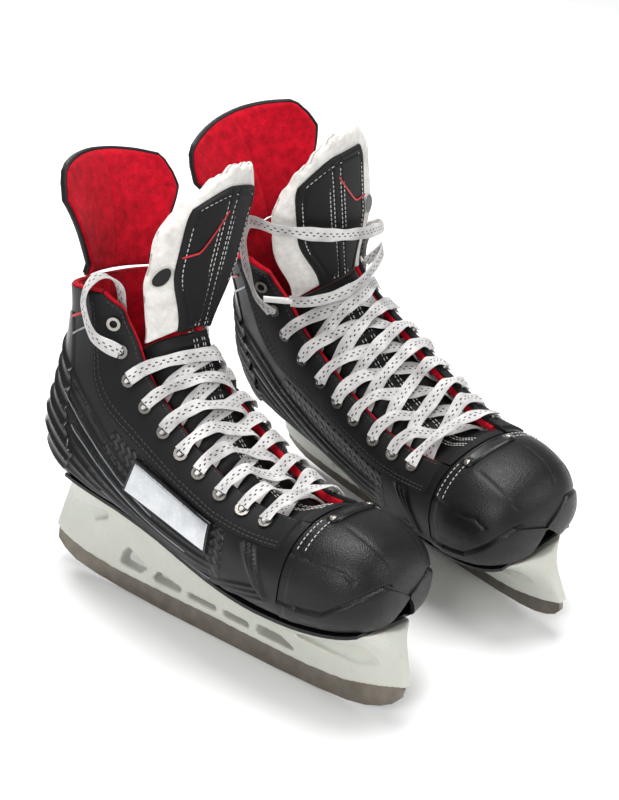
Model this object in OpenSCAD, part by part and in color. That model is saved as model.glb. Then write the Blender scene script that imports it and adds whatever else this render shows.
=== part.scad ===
// A pair of ice hockey skates that stand on their runners and lean on each other.
// Every piece is drawn for one skate in its own upright frame and then set down twice:
// x runs across (lateral side negative), y from toe (negative) to heel, z up from the runner.

/* [Pair] */
// Lean of each skate towards the other, degrees
lean = 11.2; // [8:0.1:14]
// Turn of each toe towards the other, degrees
toe_in = 6.7; // [5:0.1:8]
// Clear space between the two skates where they come closest
pair_gap = 10.4; // [6:0.2:30]
// How far the left skate stands ahead of the right
stagger = 6; // [0:1:20]

/* [Boot] */
// Length of the boot from toe tip to the back of the heel
boot_len = 284; // [230:1:345]
// Width of the boot across the ball of the foot
ball_w = 96; // [80:1:116]
// Height of the ankle collar above the sole
collar_h = 154; // [128:1:185]
// Thickness of the moulded shell
shell_t = 2.2; // [1.5:0.1:3]
// Thickness of the liner
liner_t = 2.5; // [1.5:0.1:4]
// Thickness of the ankle padding at its middle
pad_t = 5; // [3:0.5:7]
// Thickness of the eyestay bands and other overlays
overlay_t = 1.1; // [0.8:0.1:1.6]

/* [Tongue and tendon guard] */
// Height of the tongue above its fold
tongue_h = 106; // [78:1:126]
// Thickness of the tongue's felt
felt_t = 6; // [4:0.5:8]
// Thickness of the tongue's outer face
face_t = 1.6; // [1:0.1:2.4]
// Height of the tendon guard above the collar
guard_h = 73; // [55:1:90]
// Width of the tendon guard at its widest
guard_w = 100; // [82:1:122]

/* [Blade] */
// Height of the boot's sole above the ice, just behind the ball of the foot
stand_h = 60; // [52:1:70]
// Thickness of the steel runner
steel_t = 3; // [2.4:0.1:3.6]
// Height of the runner that shows below the holder at its middle
steel_show = 14; // [11:0.5:17]
// Width of the holder's rail around the runner
rail_w = 10; // [8.6:0.2:12]
// Radius of the runner bolts
bolt_r = 2; // [1.5:0.1:2.4]
// Radius of the screws that hold the holder to the sole
screw_r = 2.2; // [1.5:0.1:2.8]

/* [Lacing] */
// Radius of the hole through an eyelet
eyelet_r = 2.5; // [2.4:0.1:3]
// Width of the flat lace
lace_w = 8.5; // [6:0.5:10]
// Thickness of the flat lace
lace_t = 1.6; // [1.2:0.1:2]

/* [Hidden] */
$fn = 32;
SIDES = ["right", "left"];
PIECES = ["runner", "runner_bolts", "barrel_nuts", "holder", "holder_screws", "outsole",
    "insole_board", "footbed", "toe_cap", "toe_plate", "quarter_lateral", "quarter_medial",
    "side_panels", "side_badge", "heel_counter", "eyestay_lateral", "eyestay_medial", "eyelets",
    "liner", "ankle_pads", "tongue_base", "tongue_felt", "tongue_face", "size_tag",
    "guard_shell", "guard_felt", "lace", "lace_ends", "lace_tips"];

gap = 0.3;                      // clearance between layers that lie on each other
bore_gap = 0.05;                // radial clearance of a screw, bolt or eyelet in its hole
base_len = 284;                 // sizes at which the stations below are written
base_w = 96;
base_collar = 154;
base_stand = 60;
ky = boot_len / base_len;
kx = ball_w / base_w;
kz = collar_h / base_collar;
ks = stand_h / base_stand;

// Places written for the nominal boot, carried to the chosen sizes
function X(v) = v * kx;
function Y(v) = v * ky;
function Z(v) = v < base_stand ? v * ks : stand_h + (v - base_stand) * kz;
function smooth(v) = let (f = min(max(v, 0), 1)) f * f * (3 - 2 * f);

// Sections of the boot from the toe tip, along the sole, then up the heel to the collar.
// Each is a rounded outline between a low point B and a high point T on the boot's middle plane:
// B y, B z, T y, T z, lateral half width, medial half width, height share of the widest line,
// roundness below it, roundness above it
STATIONS = [
    [-141.5, 84.0, -141.5, 85.4, 0.8, 0.8, 0.50, 2.2, 2.2],
    [-140.8, 76.5, -140.8, 95.0, 13, 13, 0.50, 2.2, 2.2],
    [-138.0, 68.5, -138.0, 104, 25, 25, 0.46, 2.4, 2.2],
    [-130.5, 63.0, -130.5, 113, 35, 35, 0.42, 3.0, 2.3],
    [-118.0, 59.5, -118.0, 119, 43, 42, 0.38, 3.4, 2.3],
    [-99.0, 56.5, -100.0, 122, 47, 46, 0.38, 3.6, 2.3],
    [-78.0, 54.2, -79.0, 119, 49, 46, 0.39, 3.6, 2.3],
    [-52.0, 53.2, -52.0, 118, 48, 46, 0.40, 3.4, 2.4],
    [-24.0, 54.8, -25.0, 126, 47, 45, 0.39, 3.2, 2.8],
    [4.0, 59.5, -2.0, 137, 46, 44, 0.37, 3.0, 3.1],
    [32.0, 65.5, 15.0, 148, 46, 44, 0.35, 2.8, 3.3],
    [64.0, 70.5, 30.0, 158, 45, 44, 0.34, 2.7, 3.4],
    [99.0, 73.0, 41.0, 167, 44, 44, 0.36, 2.6, 3.4],
    [127.0, 77.0, 48.0, 176, 43, 43, 0.40, 2.4, 3.2],
    [142.0, 103.0, 53.0, 186, 42, 42, 0.45, 2.3, 3.0],
    [136.5, 135.0, 57.0, 194, 41, 42, 0.48, 2.3, 2.8],
    [129.0, 165.0, 60.0, 201, 42, 42, 0.48, 2.4, 2.6],
    [124.0, 190.0, 62.0, 207, 44, 43, 0.48, 2.7, 2.6],
    [124.0, 207.0, 63.0, 214, 46, 44, 0.48, 2.8, 2.6]];
LAST = len(STATIONS) - 1;

// One column of the stations at any place u along the boot, as a smooth curve
function blend(a, b, c, d, f) =
    0.5 * (2 * b + (c - a) * f + (2 * a - 5 * b + 4 * c - d) * f * f + (3 * b - a - 3 * c + d) * f * f * f);
function st(u, k) =
    let (v = min(max(u, 0), LAST), i = min(floor(v), LAST - 1))
    blend(STATIONS[max(i - 1, 0)][k], STATIONS[i][k], STATIONS[i + 1][k],
        STATIONS[min(i + 2, LAST)][k], v - i);

// Point of the boot's outer face: u along the boot, t round it in degrees.
// t is 0 on top, -90 on the lateral side, 90 on the medial side and 180 underneath.
function form(u, turn) =
    let (t = turn > 180 ? turn - 360 : turn < -180 ? turn + 360 : turn,
        side = t < 0 ? -1 : 1,
        a = 90 - abs(t),
        B = [Y(st(u, 0)), Z(st(u, 1))],
        T = [Y(st(u, 2)), Z(st(u, 3))],
        D = norm(T - B),
        n = a < 0 ? st(u, 7) : st(u, 8),
        r = pow(pow(abs(cos(a)), n) + pow(abs(sin(a)), n), -1 / n),
        low = st(u, 6) * D,
        d = low + (a < 0 ? low : D - low) * r * sin(a),
        P = B + (T - B) / D * d)
    [side * X(side < 0 ? st(u, 4) : st(u, 5)) * r * cos(a), P.x, P.y];
function unit(v) = v / norm(v);
function outward(u, t) =
    unit(cross(form(u, t + 0.5) - form(u, t - 0.5), form(u + 0.02, t) - form(u - 0.02, t)));
// Point at a height off above the outer face (negative is inside the boot)
function skin(u, t, off) = form(u, t) + off * outward(u, t);

// Layers through the boot's wall, as heights above its outer face
shell_in = -shell_t;
liner_out = shell_in - 1.5 * gap;
liner_in = liner_out - liner_t;
band_low = gap;
band_top = band_low + overlay_t;
flange_t = 0.7;
flange_top = band_top + 0.6 + flange_t;
washer_low = liner_in - 1.3 - flange_t;
lace_out = flange_top + 0.9 + lace_t / 2;
lace_in = washer_low - 0.9 - lace_t / 2;
tongue_top = lace_in - lace_t / 2 - 0.6;

// Edges drawn on the boot
seam_u = 5.8;                   // rear edge of the toe cap
under_t = 152;                  // where the upper ends below the foot
EYELET_LINE = [[5.6, 40], [6.8, 43], [8, 48], [9.5, 49], [11.5, 48], [13, 49], [14.4, 52], [16.1, 59], [18, 64]];
function eyelet_t(u) = lookup(u, EYELET_LINE);
edge_turn = 11;                 // from the row of eyelets to the eyestay's edge
function open_t(u) = eyelet_t(u) - edge_turn + 16 * smooth((u - 16.7) / 1.3);
function low_t(u) = under_t + (179.7 - under_t) * smooth((u - 12.2) / 1.2);
EYELET_U = [6.8, 7.43, 8.05, 8.8, 9.55, 10.4, 11.5, 13, 14.4, 16.1];
LACED = 8;                      // pairs of eyelets that the lace is pulled through

// Numbers from a to b in n equal steps
function steps(a, b, n) = [for (i = [0:n]) a + (b - a) * i / n];

// Closed solid between two grids of points with the same rows and columns
module slab(outer, inner) {
    m = len(outer);
    n = len(outer[0]);
    k = m * n;
    points = concat([for (r = outer) each r], [for (r = inner) each r]);
    function quad(a, b, c, d) = [[a, b, c], [a, c, d]];
    faces = concat(
        [for (i = [0:m - 2]) for (j = [0:n - 2]) each
            quad(i * n + j, (i + 1) * n + j, (i + 1) * n + j + 1, i * n + j + 1)],
        [for (i = [0:m - 2]) for (j = [0:n - 2]) each
            quad(k + i * n + j, k + i * n + j + 1, k + (i + 1) * n + j + 1, k + (i + 1) * n + j)],
        [for (j = [0:n - 2]) each quad(j, j + 1, k + j + 1, k + j)],
        [for (j = [0:n - 2]) let (a = (m - 1) * n + j) each quad(a, k + a, k + a + 1, a + 1)],
        [for (i = [0:m - 2]) let (a = i * n) each quad(a, k + a, k + a + n, a + n)],
        [for (i = [0:m - 2]) let (a = i * n + n - 1) each quad(a, a + n, k + a + n, k + a)]);
    polyhedron(points, faces);
}

// A layer of the boot's wall; each corner is [u, t, low height, high height]
module layer(grid) {
    slab([for (r = grid) [for (q = r) skin(q[0], q[1], q[3])]],
        [for (r = grid) [for (q = r) skin(q[0], q[1], q[2])]]);
}

// ---- Sole line ----
// The boot's lowest line: raised under the heel, lowest at the ball of the foot
SOLE = [for (u = [2.5:0.25:13.5]) [st(u, 0), st(u, 1)]];
function sole_z(y) = Z(lookup(y / ky, SOLE));
// Puts its children on the sole at y, with their z axis square to it
module at_sole(x, y) {
    translate([x, y, sole_z(y)]) rotate([atan((sole_z(y + 3) - sole_z(y - 3)) / 6), 0, 0]) children();
}

// ---- Runner and holder ----
BOLT_Y = [-104, 92];            // places of the two runner bolts
nut_r = 3.4;
nut_z = 31;
hook_top = 37;
hook_half = 9;
steel_hid = 3.4;                // how far the runner goes up into the holder
RUNNER = [[142, 23], [142, 15], [135, 9.6], [124, 5.2], [105, 2.6], [80, 1.1], [40, 0], [-50, 0],
    [-88, 1.1], [-110, 2.7], [-124, 5.4], [-135, 9.6], [-143, 14.5], [-148, 20], [-149, 26]];
// Rise of the holder's lower edge towards the ends, above its height at the middle
RAIL = [[-152, 15], [-145, 13], [-133, 9], [-110, 2.6], [-86, 0.3], [-50, 0], [0, 0.6], [60, 0], [84, 0],
    [115, 2.4], [138, 8], [144, 11]];
function rail_low(y) = steel_show + lookup(y / ky, RAIL);
module runner_profile(grow = 0) {
    offset(delta = grow) union() {
        polygon(concat([for (p = RUNNER) [Y(p.x), p.y * ks]],
            [for (y = steps(-146, 139, 24)) [Y(y), rail_low(Y(y)) + steel_hid]]));
        for (y = BOLT_Y)
            translate([Y(y) - hook_half, rail_low(Y(y))]) square([2 * hook_half, Z(hook_top) - rail_low(Y(y))]);
    }
}
// A flat profile drawn in y and z, made w wide and centred across the skate
module across(w) {
    rotate([90, 0, 90]) translate([0, 0, -w / 2]) linear_extrude(w) children();
}
module runner() {
    color("dimgray") difference() {
        across(steel_t) runner_profile();
        for (y = BOLT_Y) {
            translate([0, Y(y), Z(nut_z)]) rotate([0, 90, 0]) cylinder(r = nut_r + bore_gap, h = 20, center = true);
            translate([-10, Y(y) - bolt_r - 0.3, Z(nut_z)]) cube([20, 2 * bolt_r + 0.6, 30]);
        }
    }
}
nut_len = 8;
module barrel_nuts() {
    color("silver") for (y = BOLT_Y)
        translate([0, Y(y), Z(nut_z)]) difference() {
            rotate([0, 90, 0]) cylinder(r = nut_r, h = nut_len, center = true);
            cylinder(r = bolt_r + bore_gap, h = 20, center = true);
        }
}
sole_t = 2.2;
keel_top = -0.6 - sole_t;        // top of the holder, from the boot's lowest line
bolt_head_r = 4;
bolt_head_h = 3;
function bolt_top(y) = sole_z(Y(y)) + keel_top - 0.8;
module runner_bolts() {
    color("silver") for (y = BOLT_Y) translate([0, Y(y), 0]) {
        translate([0, 0, Z(nut_z) - nut_r + 0.5]) cylinder(r = bolt_r, h = bolt_top(y) - Z(nut_z) + nut_r - 0.5);
        translate([0, 0, bolt_top(y) - bolt_head_h]) cylinder(r = bolt_head_r, h = bolt_head_h);
    }
}

// The holder grips the runner in a narrow rail and flares up into the sole on both sides.
// Half width under the sole: y, width
FLARE = [[-140, 7], [-137, 15], [-130, 22], [-118, 28], [-100, 32], [-70, 34.5], [-40, 33], [-10, 30],
    [20, 26], [50, 24], [90, 23.5], [112, 19.5], [121, 15], [126, 10], [129, 5]];
KEEL_LEVELS = [0, 0.2, 0.38, 0.54, 0.7, 0.83, 0.93, 1];
keel_steps = 24;
module keel() {
    ring = function (f, side)
        [for (i = [0:keel_steps])
            let (s = 0.5 - cos(i * 180 / keel_steps) / 2,
                low = Y(-152 + 296 * s), high = Y(-140.5 + 269 * s), y = low + (high - low) * f,
                nose = 1 - 0.5 * pow(abs(2 * s - 1), 24),
                w = rail_w / 2 * nose + 1.2 * smooth(f * 3) * nose
                    + (X(lookup(high / ky, FLARE)) - rail_w / 2 - 1.2) * pow(f, 2.8))
            [side * max(w, 1.4), y, rail_low(low) + (sole_z(high) + keel_top - rail_low(low)) * f]];
    grid = [for (f = KEEL_LEVELS) ring(f, -1)];
    other = [for (f = KEEL_LEVELS) ring(f, 1)];
    slab(other, grid);
}
WINDOWS = [[[82, 20.5], [61, 20.5], [56, 27], [73, 35], [78, 30]], [[53, 19.6], [27.5, 20], [25, 24], [46, 28]],
    [[21.5, 19.6], [-4, 19.6], [-5, 23.4], [20.5, 23.4]], [[-10, 19.2], [-32, 19.2], [-32.5, 23.6], [-10, 23.6]],
    [[-37.5, 19], [-72, 19], [-58, 26.5], [-40, 26.2]]];
// Shallow panels sunk into both faces of the two towers
PANELS = [[[-66, 33], [-124, 49], [-134, 38.5], [-117, 31.5]],
    [[127, 31], [102, 28.5], [105, 43], [91, 50], [87, 57], [105, 53], [124, 52]]];
module holder() {
    color("gainsboro") difference() {
        keel();
        across(steel_t + 2 * bore_gap) runner_profile(bore_gap);
        for (w = WINDOWS)
            across(60) polygon([for (p = w) [Y(p.x), Z(p.y)]]);
        for (side = [-1, 1]) for (w = PANELS)
            translate([side * (rail_w / 2 + 1.1 + 10), 0, 0]) across(20) polygon([for (p = w) [Y(p.x), Z(p.y)]]);
        for (y = BOLT_Y) translate([0, Y(y), 0]) {
            translate([0, 0, Z(nut_z)]) rotate([0, 90, 0])
                cylinder(r = nut_r + 2 * bore_gap, h = nut_len + 0.4, center = true);
            translate([0, 0, Z(nut_z)]) cylinder(r = bolt_r + bore_gap, h = 60);
            translate([0, 0, bolt_top(y) - bolt_head_h]) cylinder(r = bolt_head_r + bore_gap, h = 20);
        }
        screw_holes();
    }
}

// ---- Sole ----
SCREWS = [[-14, -112], [14, -112], [-14, -84], [14, -84], [-14, -56], [14, -56],
    [-13, 66], [13, 66], [-13, 92], [13, 92], [0, 112]];
board_low = shell_t + 2.4;       // heights above the boot's lowest line
board_t = 2;
screw_head_r = 4;
screw_head_h = 1.2;
screw_low = keel_top - 5;
bed_low = board_low + board_t + screw_head_h + gap;
bed_t = 4;
module screw_holes() {
    for (p = SCREWS)
        at_sole(X(p.x), Y(p.y)) translate([0, 0, screw_low - 1]) cylinder(r = screw_r + bore_gap, h = 24);
}
module holder_screws() {
    color("silver") for (p = SCREWS) at_sole(X(p.x), Y(p.y)) {
        translate([0, 0, screw_low]) cylinder(r = screw_r, h = board_low + board_t + 0.3 - screw_low);
        translate([0, 0, board_low + board_t + 0.1]) cylinder(r = screw_head_r, h = screw_head_h);
    }
}
// Half width, at a height above the boot's lowest line, left inside a wall of the given thickness
function room_half(u, h, wall) =
    let (D = norm([Y(st(u, 2)) - Y(st(u, 0)), Z(st(u, 3)) - Z(st(u, 1))]), low = st(u, 6) * D - wall,
        n = st(u, 7), f = min(max((h - wall) / low, 0), 1))
    max((X(min(st(u, 4), st(u, 5))) - wall) * pow(1 - pow(1 - f, n), 1 / n), 2);
// Sheet along the sole between two heights, as wide as the room inside the wall at one level
module sole_sheet(toe_u, heel_u, low, high, level, wall, widest = 200) {
    rows = steps(toe_u, heel_u, 24);
    corner = function (u, s, h)
        [s * min(room_half(u, level, wall), widest), Y(st(u, 0)), Z(st(u, 1)) + h];
    slab([for (u = rows) [for (s = steps(-1, 1, 4)) corner(u, s, high)]],
        [for (u = rows) [for (s = steps(-1, 1, 4)) corner(u, s, low)]]);
}
module outsole() {
    color("black") difference() {
        sole_sheet(3.1, 12.75, -0.1 - sole_t, -0.1, 1.4, -2.6);
        screw_holes();
    }
}
module insole_board() {
    color("tan") difference() {
        union() {
            sole_sheet(3.3, 12.6, board_low, board_low + board_t, board_low, shell_t + 0.8);
            sole_sheet(4.2, 12.2, 0.1, board_low + 0.1, 0.6, 0, X(19));
        }
        screw_holes();
    }
}
module footbed() {
    color("dimgray") sole_sheet(3.5, 12.4, bed_low, bed_low + bed_t, bed_low, 1.6 - liner_in);
}

// ---- Upper ----
function band(u_list, t_low, t_high, n, low, high) =
    [for (u = u_list) [for (f = steps(0, 1, n)) [u, t_low(u) + (t_high(u) - t_low(u)) * f, low, high]]];
module eyelet_holes(side, r) {
    for (u = EYELET_U) at_skin(u, side * eyelet_t(u)) translate([0, 0, liner_in - 3]) cylinder(r = r, h = 12);
}
// Puts its children on the boot's face, with their z axis along the outward normal
module at_skin(u, t) {
    p = form(u, t);
    n = outward(u, t);
    translate(p) rotate([0, acos(n.z), atan2(n.y, n.x)]) children();
}
barrel_r = eyelet_r + 0.6;
TOE_U = [0, 0.5, 1, 1.5, 2, 2.5, 3, 3.6, 4.2, 5, seam_u];
module toe_cap() {
    color("#1b1b1d") layer(band(TOE_U, function (u) -under_t, function (u) under_t, 18, shell_in, 0));
}
plate_u = 5.35;
module toe_plate() {
    color("#151516") {
        layer([for (u = steps(plate_u - 0.26, plate_u + 0.26, 3)) [for (t = steps(-25, 25, 8)) [u, t, gap, 1.7]]]);
        for (t = [-21, 21]) at_skin(plate_u, t) translate([0, 0, 1.9]) cylinder(r = 2.2, h = 0.9);
    }
}
QUARTER_U = concat(steps(seam_u + 0.05, 12.2, 9), steps(12.8, LAST, 9));
module quarter(side) {
    color("#141415") difference() {
        layer(band(QUARTER_U, function (u) side < 0 ? -low_t(u) : open_t(u),
            function (u) side < 0 ? -open_t(u) : low_t(u), 8, shell_in, 0));
        eyelet_holes(side, barrel_r + bore_gap);
    }
}
module quarter_lateral() { quarter(-1); }
module quarter_medial() { quarter(1); }

STAY_U = concat(steps(6.15, 12, 9), steps(12.6, LAST - 0.1, 8));
function stay_t(u) = eyelet_t(u) + 18 + 6 * smooth((u - 12) / 4);
module eyestay(side) {
    color("#1e1e20") difference() {
        layer(band(STAY_U, function (u) side < 0 ? -stay_t(u) : open_t(u),
            function (u) side < 0 ? -open_t(u) : stay_t(u), 4, band_low, band_top));
        eyelet_holes(side, barrel_r + bore_gap);
    }
}
module eyestay_lateral() { eyestay(-1); }
module eyestay_medial() { eyestay(1); }
module eyelets() {
    color("silver") for (side = [-1, 1]) for (u = EYELET_U)
        at_skin(u, side * eyelet_t(u)) rotate_extrude() {
            translate([eyelet_r, washer_low]) square([barrel_r - eyelet_r, flange_top - washer_low]);
            translate([eyelet_r, flange_top - flange_t]) square([1.9, flange_t]);
            translate([eyelet_r, washer_low]) square([1.5, flange_t]);
        }
}
PANEL_U = steps(7.6, 11.8, 8);
module side_panels() {
    color("#262628") for (side = [-1, 1])
        layer(band(PANEL_U, function (u) side < 0 ? -128 : stay_t(u) + 3,
            function (u) side < 0 ? -stay_t(u) - 3 : 128, 6, band_low, band_low + 0.8));
}
function badge_turn(u) = -81 - (u - 8) * 1.2;
module side_badge() {
    color("silver")
        layer([for (u = steps(8, 10.7, 8)) let (mid = badge_turn(u))
            [for (t = steps(mid - 12, mid + 12, 4)) [u, t, band_low + 1.1, band_low + 1.9]]]);
}
COUNTER_U = steps(13.05, 16.6, 9);
module heel_counter() {
    color("#101011") layer(band(COUNTER_U, function (u) 96 + 8 * abs(u - 14), function (u) 264 - 8 * abs(u - 14),
        16, 2 * band_low, 2 * band_low + 1.6));
}

// Padding depth between shell and liner round the ankle bone
function pad_depth(u, t) =
    pad_t * smooth((u - 12.8) / 1.6) * smooth((17 - u) / 1.4) * smooth((abs(t) - 62) / 28) * smooth((166 - abs(t)) / 26);
module liner() {
    color("#b01226") for (side = [-1, 1]) difference() {
        layer([for (u = QUARTER_U) let (a = open_t(u) + 0.6, b = min(low_t(u), 140 + 39.7 * smooth((u - 12.4) / 1.4)))
            [for (f = steps(0, 1, 7)) let (t = side * (side < 0 ? b + (a - b) * f : a + (b - a) * f),
                d = pad_depth(u, t) + 3 * gap * min(pad_depth(u, t), 1))
                [u, t, liner_in - d, liner_out - d]]]);
        eyelet_holes(side, barrel_r + bore_gap);
    }
}
module ankle_pads() {
    color("#3a3a3c") for (side = [-1, 1])
        layer([for (u = steps(13.8, 16.2, 5)) [for (f = steps(0, 1, 5))
            let (t = side < 0 ? -148 + 70 * f : 78 + 70 * f)
            [u, t, liner_out - 0.3 - pad_depth(u, t), liner_out - 0.2]]]);
}

// ---- Tongue ----
fold_u = 14.1;                  // top row of the fixed part of the tongue
function rise(u, t) =
    (20 * smooth((u - 8) / 4.5) + 3) * pow(max(cos(90 * min(abs(t) / (open_t(u) - 1), 1)), 0), 0.8);
function tongue_off(u, t) =
    let (seam = smooth((u - 6.0) / 1.1))
    tongue_top * seam - 0.8 * (1 - seam) + rise(u, t) * smooth((u - 6.6) / 2);
function tongue_turn(u) = open_t(u) - 2 + 15 * smooth((u - 7.3) / 0.7);
tongue_t = felt_t + face_t;
module tongue_base() {
    color("#1a1a1b")
        layer([for (u = concat(steps(seam_u + 0.1, 9, 7), steps(9.6, fold_u, 7)))
            [for (t = steps(-tongue_turn(u), tongue_turn(u), 10))
                let (o = tongue_off(u, t)) [u, t, o - tongue_t * smooth((u - 5.4) / 1.4), o]]]);
}
// The tongue above its fold: v is 0 at the fold and 1 at the top, s is -1 lateral to 1 medial
fold_y = 42;
fold_z = 190;
fold_gap = 5.5;
tongue_half = 40;
function flap_half(v) = tongue_half * (0.68 + 0.32 * smooth(v * 2.2)) * sqrt(1 - 0.36 * pow(smooth((v - 0.72) / 0.3), 2));
// trim draws the edges in from the felt's outline, back moves the sheet towards the leg,
// low is the side on which the upper edge falls away
function flap(v, s, back, trim, low) =
    let (w = v * (1 - trim / tongue_h), q = s * (1 - trim / flap_half(w)), d = max(q * low, 0), e = d * min(2 * w, 1))
    [X(flap_half(w) * q) - 0.6 * low * e * back,
        Y(fold_y - 17 * w + 15 * q * q + 5 * d * d * w) + back,
        Z(fold_z) + fold_gap + tongue_h * w - (12 - 5 * w) * q * q - 26 * pow(d, 1.5) * w * w - 0.5 * e * w * back];
module flap_sheet(v_list, s_list, front, back, trim, low) {
    slab([for (v = v_list) [for (s = s_list) flap(v, s, front, trim, low)]],
        [for (v = v_list) [for (s = s_list) flap(v, s, back, trim, low)]]);
}
function low_side(which) = which == "right" ? -1 : 1;
FLAP_V = [0, 0.12, 0.25, 0.4, 0.55, 0.7, 0.8, 0.88, 0.95, 1];
module tongue_felt(which) {
    color("#d8d2c8") flap_sheet(FLAP_V, steps(-1, 1, 8), 0, felt_t, 0, low_side(which));
}
face_trim = 13;
module tongue_face(which) {
    color("#1a1a1b") flap_sheet(FLAP_V, steps(-1, 1, 8), -2 * gap - face_t, -2 * gap, face_trim, low_side(which));
}
module size_tag(which) {
    color("#111111")
        flap_sheet(steps(0.36, 0.5, 3), steps(-0.99, -0.72, 2), -2 * gap - 0.6, -2 * gap, 0, low_side(which));
}

// ---- Tendon guard ----
GUARD = [[0, 0.58], [0.1, 0.54], [0.25, 0.66], [0.45, 0.82], [0.68, 1], [0.84, 0.95], [0.95, 0.88], [1, 0.8]];
function guard_point(v, s, back) =
    let (half = X(guard_w / 2) * lookup(v, GUARD))
    [half * s, Y(120 + 20 * v * v - (6 + 7 * smooth(v * 1.6)) * s * s) + back,
        Z(209) + 3 + guard_h * v - 4 * smooth(v * 3 - 2) * s * s];
module guard_sheet(front, back, grow) {
    slab([for (g = GUARD) [for (s = steps(-1, 1, 8)) guard_point(g[0], s * grow, front)]],
        [for (g = GUARD) [for (s = steps(-1, 1, 8)) guard_point(g[0], s * grow, back)]]);
}
module guard_felt() {
    color("#b01226") guard_sheet(-4, -0.2, 0.97);
}
module guard_shell() {
    color("#161617") guard_sheet(0.1, 2.1, 1);
}

// ---- Lace ----
// Flat ribbon through points; each stop is [point, face normal, width, thickness]
RIBBON = [[-0.5, 0], [-0.36, 0.5], [0.36, 0.5], [0.5, 0], [0.36, -0.5], [-0.36, -0.5]];
module ribbon(stops) {
    n = len(stops);
    k = len(RIBBON);
    points = [for (i = [0:n - 1])
        let (p = stops[i], along = unit(stops[min(i + 1, n - 1)][0] - stops[max(i - 1, 0)][0]),
            wide = unit(cross(p[1], along)), up = cross(along, wide))
        each [for (c = RIBBON) p[0] + wide * c.x * p[2] + up * c.y * p[3]]];
    faces = concat(
        [for (i = [0:n - 2]) for (q = [0:k - 1]) let (a = i * k + q, b = i * k + (q + 1) % k)
            each [[a, b, b + k], [a, b + k, a + k]]],
        [[for (q = [k - 1:-1:0]) q]],
        [[for (q = [0:k - 1]) (n - 1) * k + q]]);
    polyhedron(points, faces);
}
function on_boot(u, t, off) = [skin(u, t, off), outward(u, t), lace_w, lace_t];
// One strand: out from under the flap at eyelet i, over the tongue, over the far flap to eyelet k
function strand(i, k, side, over) =
    let (u0 = EYELET_U[i], u1 = EYELET_U[k], a = eyelet_t(u0), b = eyelet_t(u1), o = open_t(u0), p = open_t(u1))
    [on_boot(u0, side * (a + 2), lace_in), on_boot(u0, side * (a - 5), lace_in),
        for (f = [0.1, 0.3, 0.5, 0.7, 0.86])
            let (u = u0 + (u1 - u0) * f, t = side * (o - 2 - (o + p - 4) * f),
                lift = f < 0.2 ? 0 : f > 0.8 ? 1.2 : 1)
            on_boot(u, t, max(tongue_off(u, t), tongue_top) + lace_t / 2 + 2.4 + over * lift * 2 * lace_t
                + (f > 0.6 ? (f - 0.6) / 0.26 * max(lace_out - tongue_off(u, t) - 3, 0) * 0.9 : 0)),
        on_boot(u1, -side * (p + 1), lace_out), on_boot(u1, -side * (b - 1), lace_out)];
module hole_plug(i, side) {
    u = EYELET_U[i];
    at_skin(u, side * eyelet_t(u)) translate([0, 0, (lace_in + lace_out) / 2])
        cube([4, 2.2, lace_out - lace_in], center = true);
}
// Under the flap from the last laced eyelet up to the next one, where each end comes out
module under_strand(side) {
    u0 = EYELET_U[LACED - 1];
    u1 = EYELET_U[LACED];
    ribbon([for (f = [0, 0.35, 0.7, 1]) let (u = u0 + (u1 - u0) * f) on_boot(u, side * eyelet_t(u), lace_in)]);
}
module lace() {
    color("white") {
        for (i = [0:LACED - 2]) for (side = [-1, 1])
            ribbon(strand(i, i + 1, side, (side + 1) / 2));
        ribbon([for (f = [-1, -0.72, -0.4, 0, 0.4, 0.72, 1])
            let (u = EYELET_U[0], t = f * eyelet_t(u)) on_boot(u, t, abs(f) > 0.5 ? lace_out : lace_out - 0.5)]);
        for (i = [0:LACED]) for (side = [-1, 1]) hole_plug(i, side);
        for (side = [-1, 1]) under_strand(side);
    }
}

// Free ends of the lace: [place, way the flat faces] in the upright frame of a skate.
// Each starts where the lace leaves its ninth eyelet.
ENDS_RIGHT = [
    [[[-48, 80, 183], [-1, 0.2, 0]], [[-49, 86, 188], [-1, 0.3, 0]], [[-50, 90, 196], [-1, 0.3, 0]],
     [[-51, 92, 205], [-1, 0.3, 0.1]], [[-50, 91, 214], [-1, 0.3, 0.4]], [[-45, 88, 221], [-0.6, 0.2, 1]],
     [[-39, 84, 221], [0.3, 0, 1]], [[-34, 80, 216], [1, 0, 0.8]], [[-30, 80, 206], [1, 0, 0.2]],
     [[-27, 82, 192], [1, 0, 0]], [[-26, 84, 172], [1, 0, 0]], [[-25, 86, 150], [1, 0, 0]],
     [[-24, 87, 128], [1, 0, 0]], [[-23, 86, 112], [1, 0, 0]], [[-21, 83, 99], [1, 0, 0.3]],
     [[-18, 76, 90], [0.8, 0.2, 1]], [[-15, 62, 85.6], [0, 0, 1]], [[-13, 44, 82.6], [0, 0.1, 1]],
     [[-12, 26, 79.4], [0, 0.1, 1]]],
    [[[47.5, 76, 173], [1, 0.2, 0]], [[49, 82, 162], [1, 0.2, 0]], [[49.5, 86, 146], [1, 0.2, 0]],
     [[49.5, 88, 128], [1, 0.2, 0]], [[49.5, 88, 110], [1, 0.2, 0]], [[49.5, 87, 92], [1, 0.2, 0]],
     [[48, 86, 76], [1, 0.2, 0]]]];
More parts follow.
